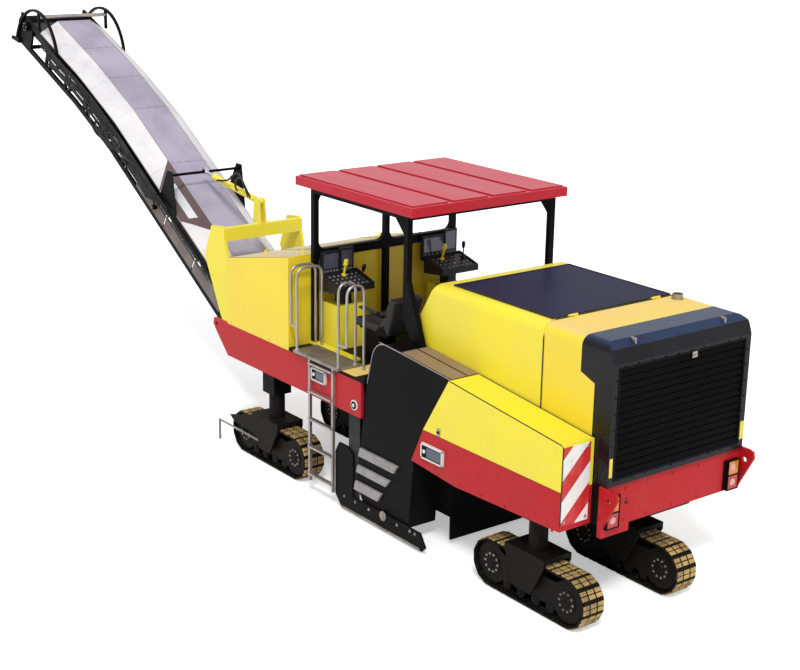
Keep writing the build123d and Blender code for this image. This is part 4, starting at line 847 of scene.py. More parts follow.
def scatter(name, draw, spots, slot, body, finish=None):
    """Repeats a small form at spots, each a place and the direction that it faces."""
    if "spots" not in TREES:
        TREES["spots"] = spots_tree()
    mesh = bpy.data.meshes.new(name)
    mesh.from_pydata([place for place, facing in spots], [], [])
    facing = mesh.attributes.new("facing", "FLOAT_VECTOR", "POINT")
    facing.data.foreach_set("vector", [value for place, way in spots for value in way])
    holder = place_object(name, mesh)
    dress(TREES["spots"].grow(name, holder, template_of(draw), finish or slot), slot, body, finish)


def bolt_head(radius=0.012, tall=0.008):
    """A hexagon head on its washer, seated a little below its spot."""
    def draw(shape):
        bar(shape, (0, 0, -0.003), (0, 0, 0.003), radius * 1.3, 16)
        bar(shape, (0, 0, 0.002), (0, 0, tall), radius, 6)
    return draw


class PlanerSettings(bpy.types.PropertyGroup):
    """Sizes and colours that a user may change."""

    body_colour: bpy.props.FloatVectorProperty(
        name="Body colour", description="Paint of the hood's front half and the tool box",
        subtype="COLOR", size=3, default=PAINTS["yellow_paint"][0])
    base_colour: bpy.props.FloatVectorProperty(
        name="Base colour", description="Paint of the side beams, wing base and bumper",
        subtype="COLOR", size=3, default=PAINTS["red_paint"][0])
    shoe_count: bpy.props.IntProperty(
        name="Track shoes", description="Shoes round each track", default=28, min=12)
    pick_count: bpy.props.IntProperty(
        name="Picks", description="Picks on the milling drum", default=120, min=2)
    rail_radius: bpy.props.FloatProperty(
        name="Rail radius", description="Radius of the hand rails' tube",
        subtype="DISTANCE", unit="LENGTH", default=0.017, min=0.001)
    hose_radius: bpy.props.FloatProperty(
        name="Hose radius", description="Radius of the hoses along the conveyor",
        subtype="DISTANCE", unit="LENGTH", default=0.012, min=0.001)
    seat_swell: bpy.props.FloatProperty(
        name="Seat swell", description="How far a seat cover may stand off its foam",
        subtype="DISTANCE", unit="LENGTH", default=0.014, min=0.0)
    floor_colour: bpy.props.FloatVectorProperty(
        name="Floor colour", description="Colour of the studio floor",
        subtype="COLOR", size=3, default=(0.86, 0.86, 0.87))
    lamp_power: bpy.props.FloatProperty(
        name="Key lamp", description="Strength of the soft key lamp", default=1.95, min=0.0)


class PLANER_OT_finishes(bpy.types.Operator):
    """Give every carried-over node its material"""
    bl_idname = "planer.finishes"
    bl_label = "Finishes"

    def execute(self, context):
        FINISHES.update(make_finishes(context.scene.planer))
        for part in frame["record"]["subparts"]:
            node = frame["nodes"][part["node"]]
            for place in node.material_slots:
                place.material = FINISHES[SPECIAL.get(part["node"], part["material_slot"])]
        return {"FINISHED"}


class PLANER_OT_tracks(bpy.types.Operator):
    """Lay shoes, plates and chains round the four tracks"""
    bl_idname = "planer.tracks"
    bl_label = "Tracks"

    def execute(self, context):
        tree = round_tree()
        for unit, (along, across) in TRACKS.items():
            pads = self.band(tree, "shoes_" + unit, along, across, self.pads, "track_shoe")
            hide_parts("track_loop_" + unit)
            dress(pads, "track_shoe", "track_" + unit)
            chain = self.band(tree, "chain_" + unit, along, across, self.links, "track_steel")
            dress(chain, "track_steel", "track_" + unit)
            self.caps(unit, along, across)
        return {"FINISHED"}

    def band(self, tree, name, along, across, draw, finish):
        """One closed band of the template, spaced evenly along the chain's line."""
        points = []
        for end, first in ((AXLE_APART, 90), (-AXLE_APART, -90)):
            for i in range(25):
                turn = math.radians(first - 7.5 * i)
                off, up = CHAIN_RADIUS * math.cos(turn), CHAIN_RADIUS * math.sin(turn)
                points.append(spot(along + end + off, across, AXLE_UP + up))
        holder = curve_piece(name, [points])
        holder.data.splines[0].use_cyclic_u = True
        return tree.grow(name, holder, template_of(draw), finish, bpy.context.scene.planer.shoe_count)

    def pads(self, shape):
        """Six raised pads of one shoe, three across and two along."""
        for across in (-0.098, 0.0, 0.098):
            for along in (-0.027, 0.027):
                foot, brow, top = (
                    oblong(along, across, 0.0215 + grow, 0.038 + grow, up)
                    for grow, up in ((0.0, -0.002), (0.0, 0.011), (-0.006, 0.0165)))
                loft(shape, brow, foot)
                loft(shape, top, brow)

    def links(self, shape):
        """Base plate of one shoe with its bolts, and the chain's links and pin under it."""
        box(shape, (-0.069, -SHOE_HALF, -0.014), (0.069, SHOE_HALF, 0.001))
        box(shape, (-0.004, -SHOE_HALF + 0.01, 0.000), (0.004, SHOE_HALF - 0.01, 0.009))
        for across in (-0.050, 0.050):
            bar(shape, (0, across, 0.000), (0, across, 0.010), 0.010, 6)
        for across in (-0.066, 0.066):
            box(shape, (-0.079, across - 0.012, -0.041), (0.060, across + 0.012, -0.012))
        bar(shape, (0.060, -0.088, -0.027), (0.060, 0.088, -0.027), 0.013, 10)

    def caps(self, unit, along, across):
        """Hub and roller caps on both faces of the track frame."""
        shape = bmesh.new()
        heads = []
        for side in (-1, 1):
            face, out = across + side * CORE_HALF, OUT * side
            for end in (-AXLE_APART, AXLE_APART):
                hub = spot(along + end, face, AXLE_UP)
                bar(shape, hub - out * 0.012, hub + out * 0.010, 0.125, 40)
                bar(shape, hub + out * 0.008, hub + out * 0.024, 0.062, 32, 0.050)
                bar(shape, hub + out * 0.022, hub + out * 0.030, 0.020, 20)
                heads += [(hub + place + out * 0.010, out) for place in wheel(10, 0.098)]
            for place in ROLLERS:
                hub = spot(along + place, face, ROLLER_UP)
                bar(shape, hub - out * 0.012, hub + out * 0.008, 0.042, 28)
                bar(shape, hub + out * 0.007, hub + out * 0.014, 0.016, 20)
        add("wheel_caps_" + unit, shape, "track_steel", "track_" + unit, bevel=0.002)
        head = bolt_head(0.010, 0.009)
        scatter("hub_bolts_" + unit, head, heads, "silver_metal", "track_" + unit, "worn_steel")


class PLANER_OT_rails(bpy.types.Operator):
    """Bend the hand rails, set them on their flanges and lay the treads between them"""
    bl_idname = "planer.rails"
    bl_label = "Hand rails"

    def execute(self, context):
        routes = []
        shape = bmesh.new()
        for along, inner, inner_foot, outer_foot in HOOPS:
            routes.append([
                spot(along, inner, inner_foot), spot(along, inner, RAIL_TOP),
                spot(along, RAIL_OUT, RAIL_TOP), spot(along, RAIL_OUT, outer_foot)])
            for across, foot, flange in ((inner, inner_foot, 0.040), (RAIL_OUT, outer_foot, 0.031)):
                if foot < RAIL_JOIN:
                    base = spot(along, across, foot)
                    bar(shape, base, base + UP * 0.008, flange, 28)
                    bar(shape, base + UP * 0.006, base + UP * 0.022, 0.025, 24, 0.019)
        for rear, front in ((HOOPS[0], HOOPS[1]), (HOOPS[2], HOOPS[3])):
            routes.append([spot(rear[0], RAIL_OUT, RAIL_JOIN), spot(front[0], RAIL_OUT, RAIL_JOIN)])
        rails = tube("rails", routes, context.scene.planer.rail_radius, RAIL_BEND)
        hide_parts("hand_rails")
        dress(rails, "silver_metal", "chassis")
        add("rail_flanges", shape, "silver_metal", "chassis", bevel=0.001)
        self.treads()
        return {"FINISHED"}

    def treads(self):
        """Grating on the landing, and the yellow deck plate behind it."""
        grating, deck = bmesh.new(), bmesh.new()
        low, rear, front = LANDING_TOP - 0.0004, 3.725, 4.630
        for i in range(24):
            across = 0.962 + 0.0142 * i
            slab(grating, rear, front, across, across + 0.004, low, LANDING_TOP + 0.006)
        for i in range(10):
            along = rear + 0.0995 * i
            slab(grating, along, along + 0.006, 0.960, 1.297, low, LANDING_TOP + 0.0045)
        add("landing_grating", grating, "silver_metal", "chassis")
        slab(deck, 3.446, 3.706, 0.845, 1.245, DECK_TOP + 0.0002, DECK_TOP + 0.0085)
        add("deck_plate", deck, "yellow_paint", "chassis", "sunned_yellow", bevel=0.002)


class PLANER_OT_seats(bpy.types.Operator):
    """Blow up the two seats as cloth over their foam"""
    bl_idname = "planer.seats"
    bl_label = "Seats"

    def execute(self, context):
        forms = [self.foam("cushion", CUSHION), self.foam("backrest", BACKREST)]
        whole = bmesh.new()
        for piece in forms:
            for across in SEATS:
                copy = piece.data.copy()
                copy.transform(Matrix.Translation((0, across, 0)))
                whole.from_mesh(copy)
                bpy.data.meshes.remove(copy)
            bpy.data.objects.remove(piece)
        covers = mesh_piece("seat_covers", whole)
        soften = covers.modifiers.new("soft", "SUBSURF")
        soften.levels = soften.render_levels = 1
        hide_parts("seats")
        dress(covers, "seat_cover", "chassis")
        self.frames()
        return {"FINISHED"}

    def foam(self, name, outline):
        """One cushion round the seat's middle, inflated between its sewn seams."""
        shape = bmesh.new()
        prism(shape, outline, -SEAT_HALF, SEAT_HALF)
        bmesh.ops.bevel(shape, geom=list(shape.edges), offset=0.026, segments=4, affect="EDGES", profile=0.6)
        piece = mesh_piece(name, shape)
        remesh = piece.modifiers.new("grid", "REMESH")
        remesh.mode = "VOXEL"
        remesh.voxel_size = VOXEL
        piece = stand(name, final_mesh(piece))
        rest = [vertex.co.copy() for vertex in piece.data.vertices]
        seams = piece.vertex_groups.new(name="seams")
        sewn = [i for i, place in enumerate(rest) if abs(abs(place.y) - SEAM_OUT) < 0.006]
        seams.add(sewn, 1.0, "REPLACE")
        cloth = piece.modifiers.new("cover", "CLOTH")
        cloth.settings.use_pressure = True
        cloth.settings.uniform_pressure_force = 4.0
        cloth.settings.effector_weights.gravity = 0.0
        cloth.settings.vertex_group_mass = "seams"
        cloth.settings.pin_stiffness = 1.0
        cloth.point_cache.frame_end = CLOTH_STEPS
        for step in range(1, CLOTH_STEPS + 1):
            bpy.context.scene.frame_set(step)
        blown = stand(name, final_mesh(piece))
        bpy.context.scene.frame_set(1)
        most = bpy.context.scene.planer.seat_swell
        for place, vertex in zip(rest, blown.data.vertices):
            move = vertex.co - place
            if move.length > most:
                vertex.co = place + move.normalized() * most
        return blown

    def frames(self):
        """Arm rests, hinge plates, pans and levers of both seats."""
        pads, steel = bmesh.new(), bmesh.new()
        for across in SEATS:
            for side in (-1, 1):
                out = across + side * (SEAT_HALF + 0.045)
                slab(pads, 3.560, 3.900, out - 0.030, out + 0.030, 2.372, 2.402)
                along, up = ARM_HINGE
                bar(steel, spot(along, out, up), spot(along + 0.080, out, up), 0.014)
                bar(steel, spot(along, across + side * 0.18, up), spot(along, out + side * 0.012, up), 0.016)
                plate = [(3.430, 2.110), (3.660, 2.110), (3.620, 2.170), (3.480, 2.250)]
                prism(steel, plate, out - 0.038, out - 0.030)
                bracket = [(3.560, 2.350), (3.640, 2.350), (3.840, 2.374), (3.560, 2.374)]
                prism(steel, bracket, out - 0.006, out + 0.006)
            slab(steel, 3.560, 4.000, across - 0.19, across + 0.19, 2.104, 2.1205)
            bar(steel, spot(4.000, across - 0.12, 2.090), spot(4.080, across - 0.12, 2.080), 0.009)
        add("arm_rests", pads, "seat_cover", "chassis", bevel=0.010)
        add("seat_frames", steel, "black_paint", "chassis", bevel=0.002)


class PLANER_OT_controls(bpy.types.Operator):
    """Fit buttons, sticks, levers and screens to both consoles"""
    bl_idname = "planer.controls"
    bl_label = "Controls"

    def execute(self, context):
        up = normal_of(TRAY_TOP)
        keys = {"key_white": [], "lamp_amber": [], "lamp_red": [], "key_green": []}
        names = list(keys)
        dice = random.Random(7)
        for low, high in TRAYS:
            for i in range(4):
                along = 4.375 + 0.075 * i
                for j in range(7):
                    across = low + 0.075 + j * (high - low - 0.15) / 6
                    name = names[0] if dice.random() < 0.72 else dice.choice(names)
                    keys[name].append((spot(along, across, height_on(TRAY_TOP, along, -TRAY_RIM)), up))
        for name, places in keys.items():
            if places:
                scatter("keys_" + name, self.key, places, "console_black", "chassis", name)
        self.sticks(up)
        self.screens()
        return {"FINISHED"}

    def key(self, shape):
        """A round key in its collar."""
        bar(shape, (0, 0, -0.003), (0, 0, 0.004), 0.017, 20)
        bar(shape, (0, 0, 0.003), (0, 0, 0.012), 0.013, 20, 0.011)

    def sticks(self, up):
        """Two joysticks in their boots and two yellow levers."""
        black, yellow = bmesh.new(), bmesh.new()
        for foot, knob in (
                (spot(4.544, -1.218, 2.560), spot(4.470, -1.160, 2.760)),
                (spot(4.470, 0.430, 2.545), spot(4.420, 0.430, 2.690))):
            way = (knob - foot).normalized()
            for i in range(4):
                low, high, radius = 0.014 * i - 0.012, 0.014 * i + 0.004, 0.046 - 0.007 * i
                bar(black, foot + way * low, foot + way * high, radius, 24, radius - 0.010)
            bar(black, foot, knob, 0.009)
            bar(black, knob - way * 0.05, knob + way * 0.02, 0.019, 20, 0.026)
            bar(black, knob + way * 0.02, knob + way * 0.045, 0.026, 20, 0.014)
        for along, across in ((4.587, -0.909), (4.600, 0.600)):
            foot = spot(along, across, height_on(TRAY_TOP, along, -0.020))
            bar(yellow, foot, foot + up * 0.020, 0.030, 24)
            bar(yellow, foot, foot + up * 0.150, 0.012, 20, 0.018)
            bar(yellow, foot + up * 0.145, foot + up * 0.215, 0.030, 24, 0.024)
        add("joysticks", black, "console_black", "chassis", bevel=0.002)
        add("levers", yellow, "yellow_paint", "chassis", bevel=0.003)

    def screens(self):
        """Glass faces, bezels and rows of keys on the upright screens."""
        glass, bezels, keys = bmesh.new(), bmesh.new(), []
        for low, high, top in SCREENS:
            across, up = (low + 0.022, high - 0.022), (2.660, top - 0.028)
            slab(glass, SCREEN_REAR - 0.003, SCREEN_REAR + 0.001, *across, *up)
            rim(bezels, SCREEN_REAR - 0.008, SCREEN_REAR + 0.001, across, up, 0.012, 0.016)
            for i in range(5):
                keys.append((spot(SCREEN_REAR, low + 0.04 + i * (high - low - 0.08) / 4, 2.628), BACK))
        add("screen_glass", glass, "console_black", "chassis", "screen_glass")
        add("screen_bezels", bezels, "console_black", "chassis", bevel=0.002)
        scatter("screen_keys", self.key, keys, "console_black", "chassis", "key_white")


class PLANER_OT_body_trim(bpy.types.Operator):
    """Add trims, seams, latches and small boxes to the body, with painted highlight and painted shade on some
    of them, and fittings to its front
    """
    bl_idname = "planer.body_trim"
    bl_label = "Body trim"

    def execute(self, context):
        # Painted highlight: a silver tube along the drive cover's outer edge.
        edge = [spot(x, 1.214, z) for x, z in (
            (1.762, 1.500), (1.762, 2.131), (2.830, 2.222), (3.117, 2.234), (3.254, 1.690))]
        line = [edge[0]] + rounded(edge[1:], 0.22, 10)
        dress(tube("cover_edge", [line], 0.007), "silver_metal", "chassis")
        dusty_and_shaded, yellow, silver, black = bmesh.new(), bmesh.new(), bmesh.new(), bmesh.new()
        # The strip on the drive cover's top is painted tan, as shade on its yellow.
        top = [(1.775, 2.1363), (2.640, 2.2099), (2.640, 2.2159), (1.775, 2.1423)]
        prism(dusty_and_shaded, top, 0.835, 1.200)
        prism(black, [(x, z + 0.006) for x, z in top], 0.985, 0.995)
        slab(yellow, 3.905, 4.820, 0.840, 0.949, 1.7204, 1.752)
        slab(silver, 1.880, 1.940, LEFT - 0.002, LEFT + 0.007, 1.470, 1.560)
        slab(black, 1.890, 1.930, LEFT + 0.006, LEFT + 0.012, 1.500, 1.530)
        slab(black, 0.000, 2.175, LEFT - 0.0008, LEFT + 0.0015, 1.4635, 1.4675)
        # Painted shade: a black tube along the wing's rear and top outer edges.
        wing = [spot(x, LEFT - 0.004, z) for x, z in ((-0.001, 1.115), (-0.001, 1.951), (1.750, 2.131))]
        dress(tube("wing_seam", [rounded(wing, 0.03)], 0.006), "black_paint", "chassis", "rubber_seal")
        inner = [spot(0.010, 0.838, 1.955), spot(1.755, 0.838, 2.134)]
        dress(tube("wing_joint", [inner], 0.006), "black_paint", "chassis", "rubber_seal")
        add("cover_top", dusty_and_shaded, "black_paint", "chassis", "dusty_tan")
        add("deck_strip", yellow, "yellow_paint", "chassis", bevel=0.003)
        add("wing_latches", silver, "silver_metal", "chassis", bevel=0.002)
        add("wing_fittings", black, "black_paint", "chassis", bevel=0.002)
        self.boxes()
        self.front_body()
        return {"FINISHED"}

    def boxes(self):
        """Meter box between the ladder's stringers, control box on the red base, round fitting."""
        rims, dark, glass = bmesh.new(), bmesh.new(), bmesh.new()
        face, wide = LEFT - 0.0005, 0.018
        for x0, x1, z0, z1 in ((4.010, 4.300, 1.465, 1.625), (1.804, 2.174, 1.153, 1.330)):
            slab(dark, x0 + 0.006, x1 - 0.006, face, face + 0.030, z0 + 0.006, z1 - 0.006)
            for z in (z0, z1 - wide):
                slab(rims, x0, x1, face, face + 0.036, z, z + wide)
            for x in (x0, x1 - wide):
                slab(rims, x, x + wide, face, face + 0.036, z0, z1)
            slab(glass, x0 + 0.03, x1 - 0.10, face + 0.029, face + 0.032, z0 + 0.03, z1 - 0.03)
            knob = spot(x1 - 0.06, face + 0.028, (z0 + z1) / 2)
            bar(rims, knob, knob + OUT * 0.012, 0.022, 24)
        hub = spot(3.450, face, 1.380)
        bar(rims, hub, hub + OUT * 0.012, 0.062, 36)
        bar(dark, hub, hub + OUT * 0.018, 0.046, 32)
        bar(rims, hub, hub + OUT * 0.024, 0.022, 24)
        add("box_frames", rims, "silver_metal", "chassis", "box_white", bevel=0.002)
        add("box_bodies", dark, "black_paint", "chassis", bevel=0.002)
        add("box_glass", glass, "console_black", "chassis", "screen_glass")

    def front_body(self):
        """Seams, lifting eyes and bolts on the sloping top of the front body, bolts on its sides."""
        steel, seams, heads = bmesh.new(), bmesh.new(), []
        up = normal_of(BODY_TOP)
        ends = ((4.840, 0.0005), (6.236, 0.0005), (6.236, 0.0035), (4.840, 0.0035))
        line = [(along, height_on(BODY_TOP, along, lift)) for along, lift in ends]
        for across in (-1.244, -0.780, 0.440, 1.244):
            prism(seams, line, across - 0.003, across + 0.003)
        for along, across in ((5.10, 0.85), (5.95, 0.85), (5.10, -0.95), (5.95, -0.95)):
            foot = spot(along, across, height_on(BODY_TOP, along))
            bar(steel, foot - up * 0.002, foot + up * 0.010, 0.045, 28)
            bar(steel, foot, foot + up * 0.045, 0.016, 20)
            for i in range(4):
                turn = math.radians(45 + 90 * i)
                heads.append((foot + Vector((math.cos(turn), math.sin(turn), 0)) * 0.06, up))
        for i in range(9):
            along = 4.900 + 0.16 * i
            heads += [(spot(along, across, height_on(BODY_TOP, along)), up) for across in (-1.215, 1.215)]
        for i in range(8):
            heads += [(spot(4.900 + 0.18 * i, side * LEFT, 1.720), OUT * side) for side in (-1, 1)]
        add("body_eyes", steel, "yellow_paint", "chassis", bevel=0.002)
        add("body_seams", seams, "black_paint", "chassis")
        scatter("body_bolts", bolt_head(), heads, "yellow_paint", "chassis")


class PLANER_OT_hood_trim(bpy.types.Operator):
    """Add seams, latch, reflectors, bolts, outlet and the grille's frame to the hood"""
    bl_idname = "planer.hood_trim"
    bl_label = "Hood trim"

    def execute(self, context):
        self.seam()
        self.cap_fittings()
        self.outlet()
        self.grille_frame()
        return {"FINISHED"}

    def seam(self):
        """Rubber seam round the hood where the lid meets its front half."""
        low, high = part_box("hood_rear")
        left, right = high[1] + 0.002, low[1] - 0.002
        corners = (
            (left, 1.500), (left, 2.820), (left - 0.130, 2.943),
            (right + 0.130, 2.943), (right, 2.820), (right, 1.500))
        route = [spot(0.797, across, up) for across, up in corners]
        dress(tube("lid_seam", [rounded(route, 0.06)], 0.008), "black_paint", "chassis", "rubber_seal")
        low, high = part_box("top_panel")
        x0, x1, y0, y1, z = low[0], high[0], low[1], high[1], high[2] - 0.002
        ring = [Vector((x, y, z)) for x, y in ((x0, y0), (x1, y0), (x1, y1), (x0, y1), (x0, y0))]
        dress(tube("panel_seal", [ring], 0.009), "black_paint", "chassis", "rubber_seal")

    def cap_fittings(self):
        """Latch, lifting eyes, reflectors and bolts on the black cap."""
        steel, reflectors, heads = bmesh.new(), bmesh.new(), []
        slab(steel, CAP_REAR - 0.007, CAP_REAR + 0.002, -0.345, -0.275, 2.630, 2.695)
        bar(steel, spot(CAP_REAR - 0.014, -0.335, 2.655), spot(CAP_REAR - 0.014, -0.285, 2.655), 0.008)
        for across in (-0.816, 0.476):
            slab(steel, -0.135, -0.065, across - 0.008, across + 0.008, 2.890, 2.950)
            eye = spot(-0.100, across, 2.930)
            bar(steel, eye - OUT * 0.014, eye + OUT * 0.014, 0.014)
        for y0, y1 in ((0.770, 0.812), (-1.152, -1.098)):
            slab(reflectors, CAP_REAR - 0.0065, CAP_REAR + 0.001, y0, y1, 1.587, 1.787)
        for across in (-1.115, 0.775):
            heads += [(spot(CAP_REAR, across, 1.900 + 0.17 * i), BACK) for i in range(5)]
        for i in range(10):
            heads += [(spot(CAP_REAR, -1.000 + 0.185 * i, up), BACK) for up in (2.713, 1.530)]
        add("cap_fittings", steel, "silver_metal", "lid", bevel=0.002)
        add("cap_reflectors", reflectors, "lamp_amber", "lid", "reflector", bevel=0.003)
        scatter("cap_bolts", bolt_head(0.008, 0.006), heads, "black_paint", "lid")

    def outlet(self):
        """Exhaust outlet: a round pipe with a rolled rim, dark inside."""
        middle = spot(*OUTLET)
        shape = bmesh.new()
        bar(shape, middle, middle + UP * 0.010, OUTLET_RADIUS + 0.010, 48)
        bar(shape, middle, middle + UP * OUTLET_TALL, OUTLET_RADIUS, 48)
        pipe = mesh_piece("outlet", shape, 0.002)
        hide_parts("exhaust")
        dress(pipe, "silver_metal", "lid")
        # A dark disc closes the pipe's top: soot, and painted shade inside the pipe.
        soot = bmesh.new()
        bar(soot, middle + UP * (OUTLET_TALL - 0.006), middle + UP * (OUTLET_TALL + 0.0015), 0.050, 48)
        add("outlet_soot", soot, "black_paint", "lid", "soot")
        turns = [math.tau * i / 48 for i in range(49)]
        ring = [
            middle + Vector((math.cos(turn), math.sin(turn), 0)) * 0.055 + UP * (OUTLET_TALL + 0.001)
            for turn in turns]
        dress(tube("outlet_rim", [ring], 0.006), "silver_metal", "lid")

    def grille_frame(self):
        """Frame round the grille's opening, and the radiator's dark core behind its slats."""
        shape, core = bmesh.new(), bmesh.new()
        y0, y1, z0, z1 = GRILLE
        rim(shape, CAP_REAR - 0.006, CAP_REAR + 0.002, (y0, y1), (z0, z1), 0.02, 0.02)
        add("grille_frame", shape, "black_paint", "lid", bevel=0.002)
        slab(core, -0.1602, -0.150, y0 - 0.01, y1 + 0.01, z0 - 0.01, z1 + 0.01)
        add("radiator_core", core, "grille_black", "lid", "soot")


class PLANER_OT_rear_fittings(bpy.types.Operator):
    """Fit lamp frames and centres, bolts and a keyhole to bumper, wing and hazard plate"""
    bl_idname = "planer.rear_fittings"
    bl_label = "Rear fittings"

    def execute(self, context):
        black, chrome = bmesh.new(), bmesh.new()
        for y0, y1 in ((0.640, 0.790), (-1.130, -0.980)):
            for z0, z1 in ((1.040, 1.190), (1.205, 1.355)):
                rim(black, BUMPER_REAR - 0.048, BUMPER_REAR + 0.002, (y0, y1), (z0, z1), 0.012, 0.012)
                centre = spot(BUMPER_REAR - 0.0405, (y0 + y1) / 2, (z0 + z1) / 2)
                bar(chrome, centre, centre + BACK * 0.006, 0.040, 32, 0.030)
        for y0 in (0.595, -0.968):
            slab(black, BUMPER_REAR - 0.012, BUMPER_REAR - 0.0005, y0, y0 + 0.033, 1.030, 1.365)
        add("lamp_frames", black, "black_paint", "chassis", bevel=0.003)
        add("lamp_centres", chrome, "lamp_red", "chassis", "lamp_clear", bevel=0.001)
        heads = [
            (spot(BUMPER_REAR, across, up), BACK)
            for across in (-0.90, -0.55, -0.17, 0.21, 0.52) for up in (1.060, 1.400)]
        heads += [(spot(0.10 + 0.36 * i, LEFT, 1.040), OUT) for i in range(6)]
        scatter("rear_bolts", bolt_head(0.013, 0.009), heads, "red_paint", "chassis")
        places = ((1.205, 1.150), (0.915, 1.150), (0.915, 1.890))
        heads = [(spot(-0.008, across, up), BACK) for across, up in places]
        scatter("plate_bolts", bolt_head(0.013, 0.009), heads, "silver_metal", "chassis")
        # Painted shade: a black disc for the keyhole's opening.
        hole = bmesh.new()
        for up, radius, sides in ((1.250, 0.022, 28), (1.295, 0.012, 24)):
            middle = spot(BUMPER_REAR - 0.0002, 0.500, up)
            bar(hole, middle + BACK * 0.0015, middle - BACK * 0.002, radius, sides)
        add("keyhole", hole, "black_paint", "chassis", "soot")
        return {"FINISHED"}


class PLANER_OT_conveyor_trim(bpy.types.Operator):
    """Add straps, the slotted panel, painted highlights along its folds and rims, and rollers to the
    discharge conveyor
    """
    bl_idname = "planer.conveyor_trim"
    bl_label = "Conveyor trim"

    def execute(self, context):
        shape, heads = bmesh.new(), []
        profile = (-COVER_EDGE, -COVER_FLAT, COVER_FLAT, COVER_EDGE)
        for along in COVER_JOINTS:
            for first, last in zip(profile, profile[1:]):
                section = ((first, 0.005), (last, 0.005), (last, -0.001), (first, -0.001))
                loft(shape, *(
                    [on_cover(end, across, lift) for across, lift in section]
                    for end in (along - 0.022, along + 0.022)))
            up = (on_cover(along, 0, 1) - on_cover(along, 0, 0)).normalized()
            heads += [(on_cover(along, across, 0.005), up) for across in (-0.24, -0.12, 0.0, 0.12, 0.24)]
        add("cover_straps", shape, "cover_grey", "boom")
        scatter("cover_bolts", bolt_head(0.009, 0.006), heads, "silver_metal", "boom")
        self.panel()
        self.edges()
        self.roller()
        return {"FINISHED"}

    def panel(self):
        """Brown panel on the cover's left slant, with one long slot along it."""
        shape = bmesh.new()
        for outline in PANEL:
            loft(shape, *([on_cover(x, y, lift) for x, y in outline] for lift in (0.008, -0.001)))
        add("slotted_panel", shape, "skirt_grey", "boom", "panel_brown")

    def edges(self):
        """Painted highlights: fine light tubes along the cover's folds and its lower rims."""
        for side, word in ((-1, "right"), (1, "left")):
            for name, across, lift in (("fold", COVER_FLAT, 0.0), ("rim", COVER_EDGE, 0.002)):
                route = [on_cover(along, side * across, lift) for along in COVER_PLACES]
                dress(tube("cover_%s_%s" % (name, word), [route], 0.006), "silver_metal", "boom")

    def roller(self):
        """End caps of both rollers, and the bar across the tip."""
        shape, bars, heads = bmesh.new(), bmesh.new(), []
        for side in (-1, 1):
            out = OUT * side
            for along, up in ROLLER_HUBS:
                hub = spot(along, MIDDLE + side * 0.610, up)
                bar(shape, hub - out * 0.10, hub + out * 0.012, ROLLER_CAP, 32)
                bar(shape, hub, hub + out * 0.026, ROLLER_CAP * 0.5, 24)
                heads += [(hub + place + out * 0.012, out) for place in wheel(6, ROLLER_CAP * 0.78)]
        bar(bars, spot(13.400, MIDDLE - 0.575, 4.950), spot(13.400, MIDDLE + 0.575, 4.950), 0.030, 28)
        add("tip_bar", bars, "silver_metal", "boom", bevel=0.001)
        add("roller_caps", shape, "black_paint", "boom", bevel=0.002)
        scatter("roller_bolts", bolt_head(0.008, 0.007), heads, "silver_metal", "boom")


class PLANER_OT_hoses(bpy.types.Operator):
    """Run the hoses of the lift cylinder, and those along the conveyor's left truss"""
    bl_idname = "planer.hoses"
    bl_label = "Hoses"

    def execute(self, context):
        routes = [[spot(along, LIFT_SIDE + off, up) for along, off, up in route] for route in LIFT_HOSES]
        dress(tube("lift_hoses", routes, 0.014, soft=True), "black_paint", "barrel", "hose_rubber")
        self.lines(context.scene.planer.hose_radius)
        self.clamps()
        return {"FINISHED"}

    def lines(self, radius):
        """Hoses and pipes that run along the truss, and a bundle that sags out of it."""
        dice = random.Random(11)
        lines, bundle = [], []
        for i in range(11):
            deep = 0.025 + 0.024 * i
            places = (9.1 + 0.05 * i, 9.7, 10.1, 10.5, 10.9, 11.3, 11.7, 12.1, 12.5, 12.9, 13.3 - 0.06 * i)
            lines.append([
                self.beside(along, deep + dice.uniform(-0.022, 0.022), 0.630 + dice.uniform(-0.008, 0.012))
                for along in places])
        dress(tube("conveyor_hoses", lines, radius, soft=True), "black_paint", "boom", "hose_rubber")
        pipes = [[self.beside(along, deep, 0.652) for along in PIPE_PLACES] for deep in (0.045, 0.115)]
        dress(tube("conveyor_pipes", pipes, 0.008), "belt_rubber", "boom", "hose_rubber")
        for i in range(9):
            start, deep = 9.95 + 0.09 * i, 0.050 + 0.026 * i
            bundle.append([
                self.beside(
                    start + along * dice.uniform(0.85, 1.15), deep + sag * dice.uniform(0.6, 1.3), across)
                for along, sag, across in SAGGING])
        bundle = tube("conveyor_bundle", bundle, radius + 0.001, soft=True)
        dress(bundle, "black_paint", "boom", "hose_rubber")

    def clamps(self):
        """Bars that hold the hoses to the truss, each with a round foot and its bolt."""
        shape, heads = bmesh.new(), []
        for along in CLAMPS:
            top, low = self.beside(along, 0.020, 0.640), self.beside(along, 0.275, 0.640)
            bar(shape, top, low, 0.013, 8)
            bar(shape, low - OUT * 0.06, low + OUT * 0.010, 0.034, 16)
            heads.append((low + OUT * 0.008, OUT))
        add("hose_clamps", shape, "black_paint", "boom", bevel=0.002)
        scatter("clamp_bolts", bolt_head(0.014, 0.010), heads, "silver_metal", "boom", "worn_steel")

    def beside(self, along, deep, across):
        """A place beside the left truss, so deep below the cover's edge."""
        edge = on_cover(along, COVER_EDGE, 0.0)
        way = (on_cover(along, 0, -1.0) - on_cover(along, 0, 0.0)).normalized()
        return Vector((edge.x, MIDDLE + across, edge.z)) + way * deep


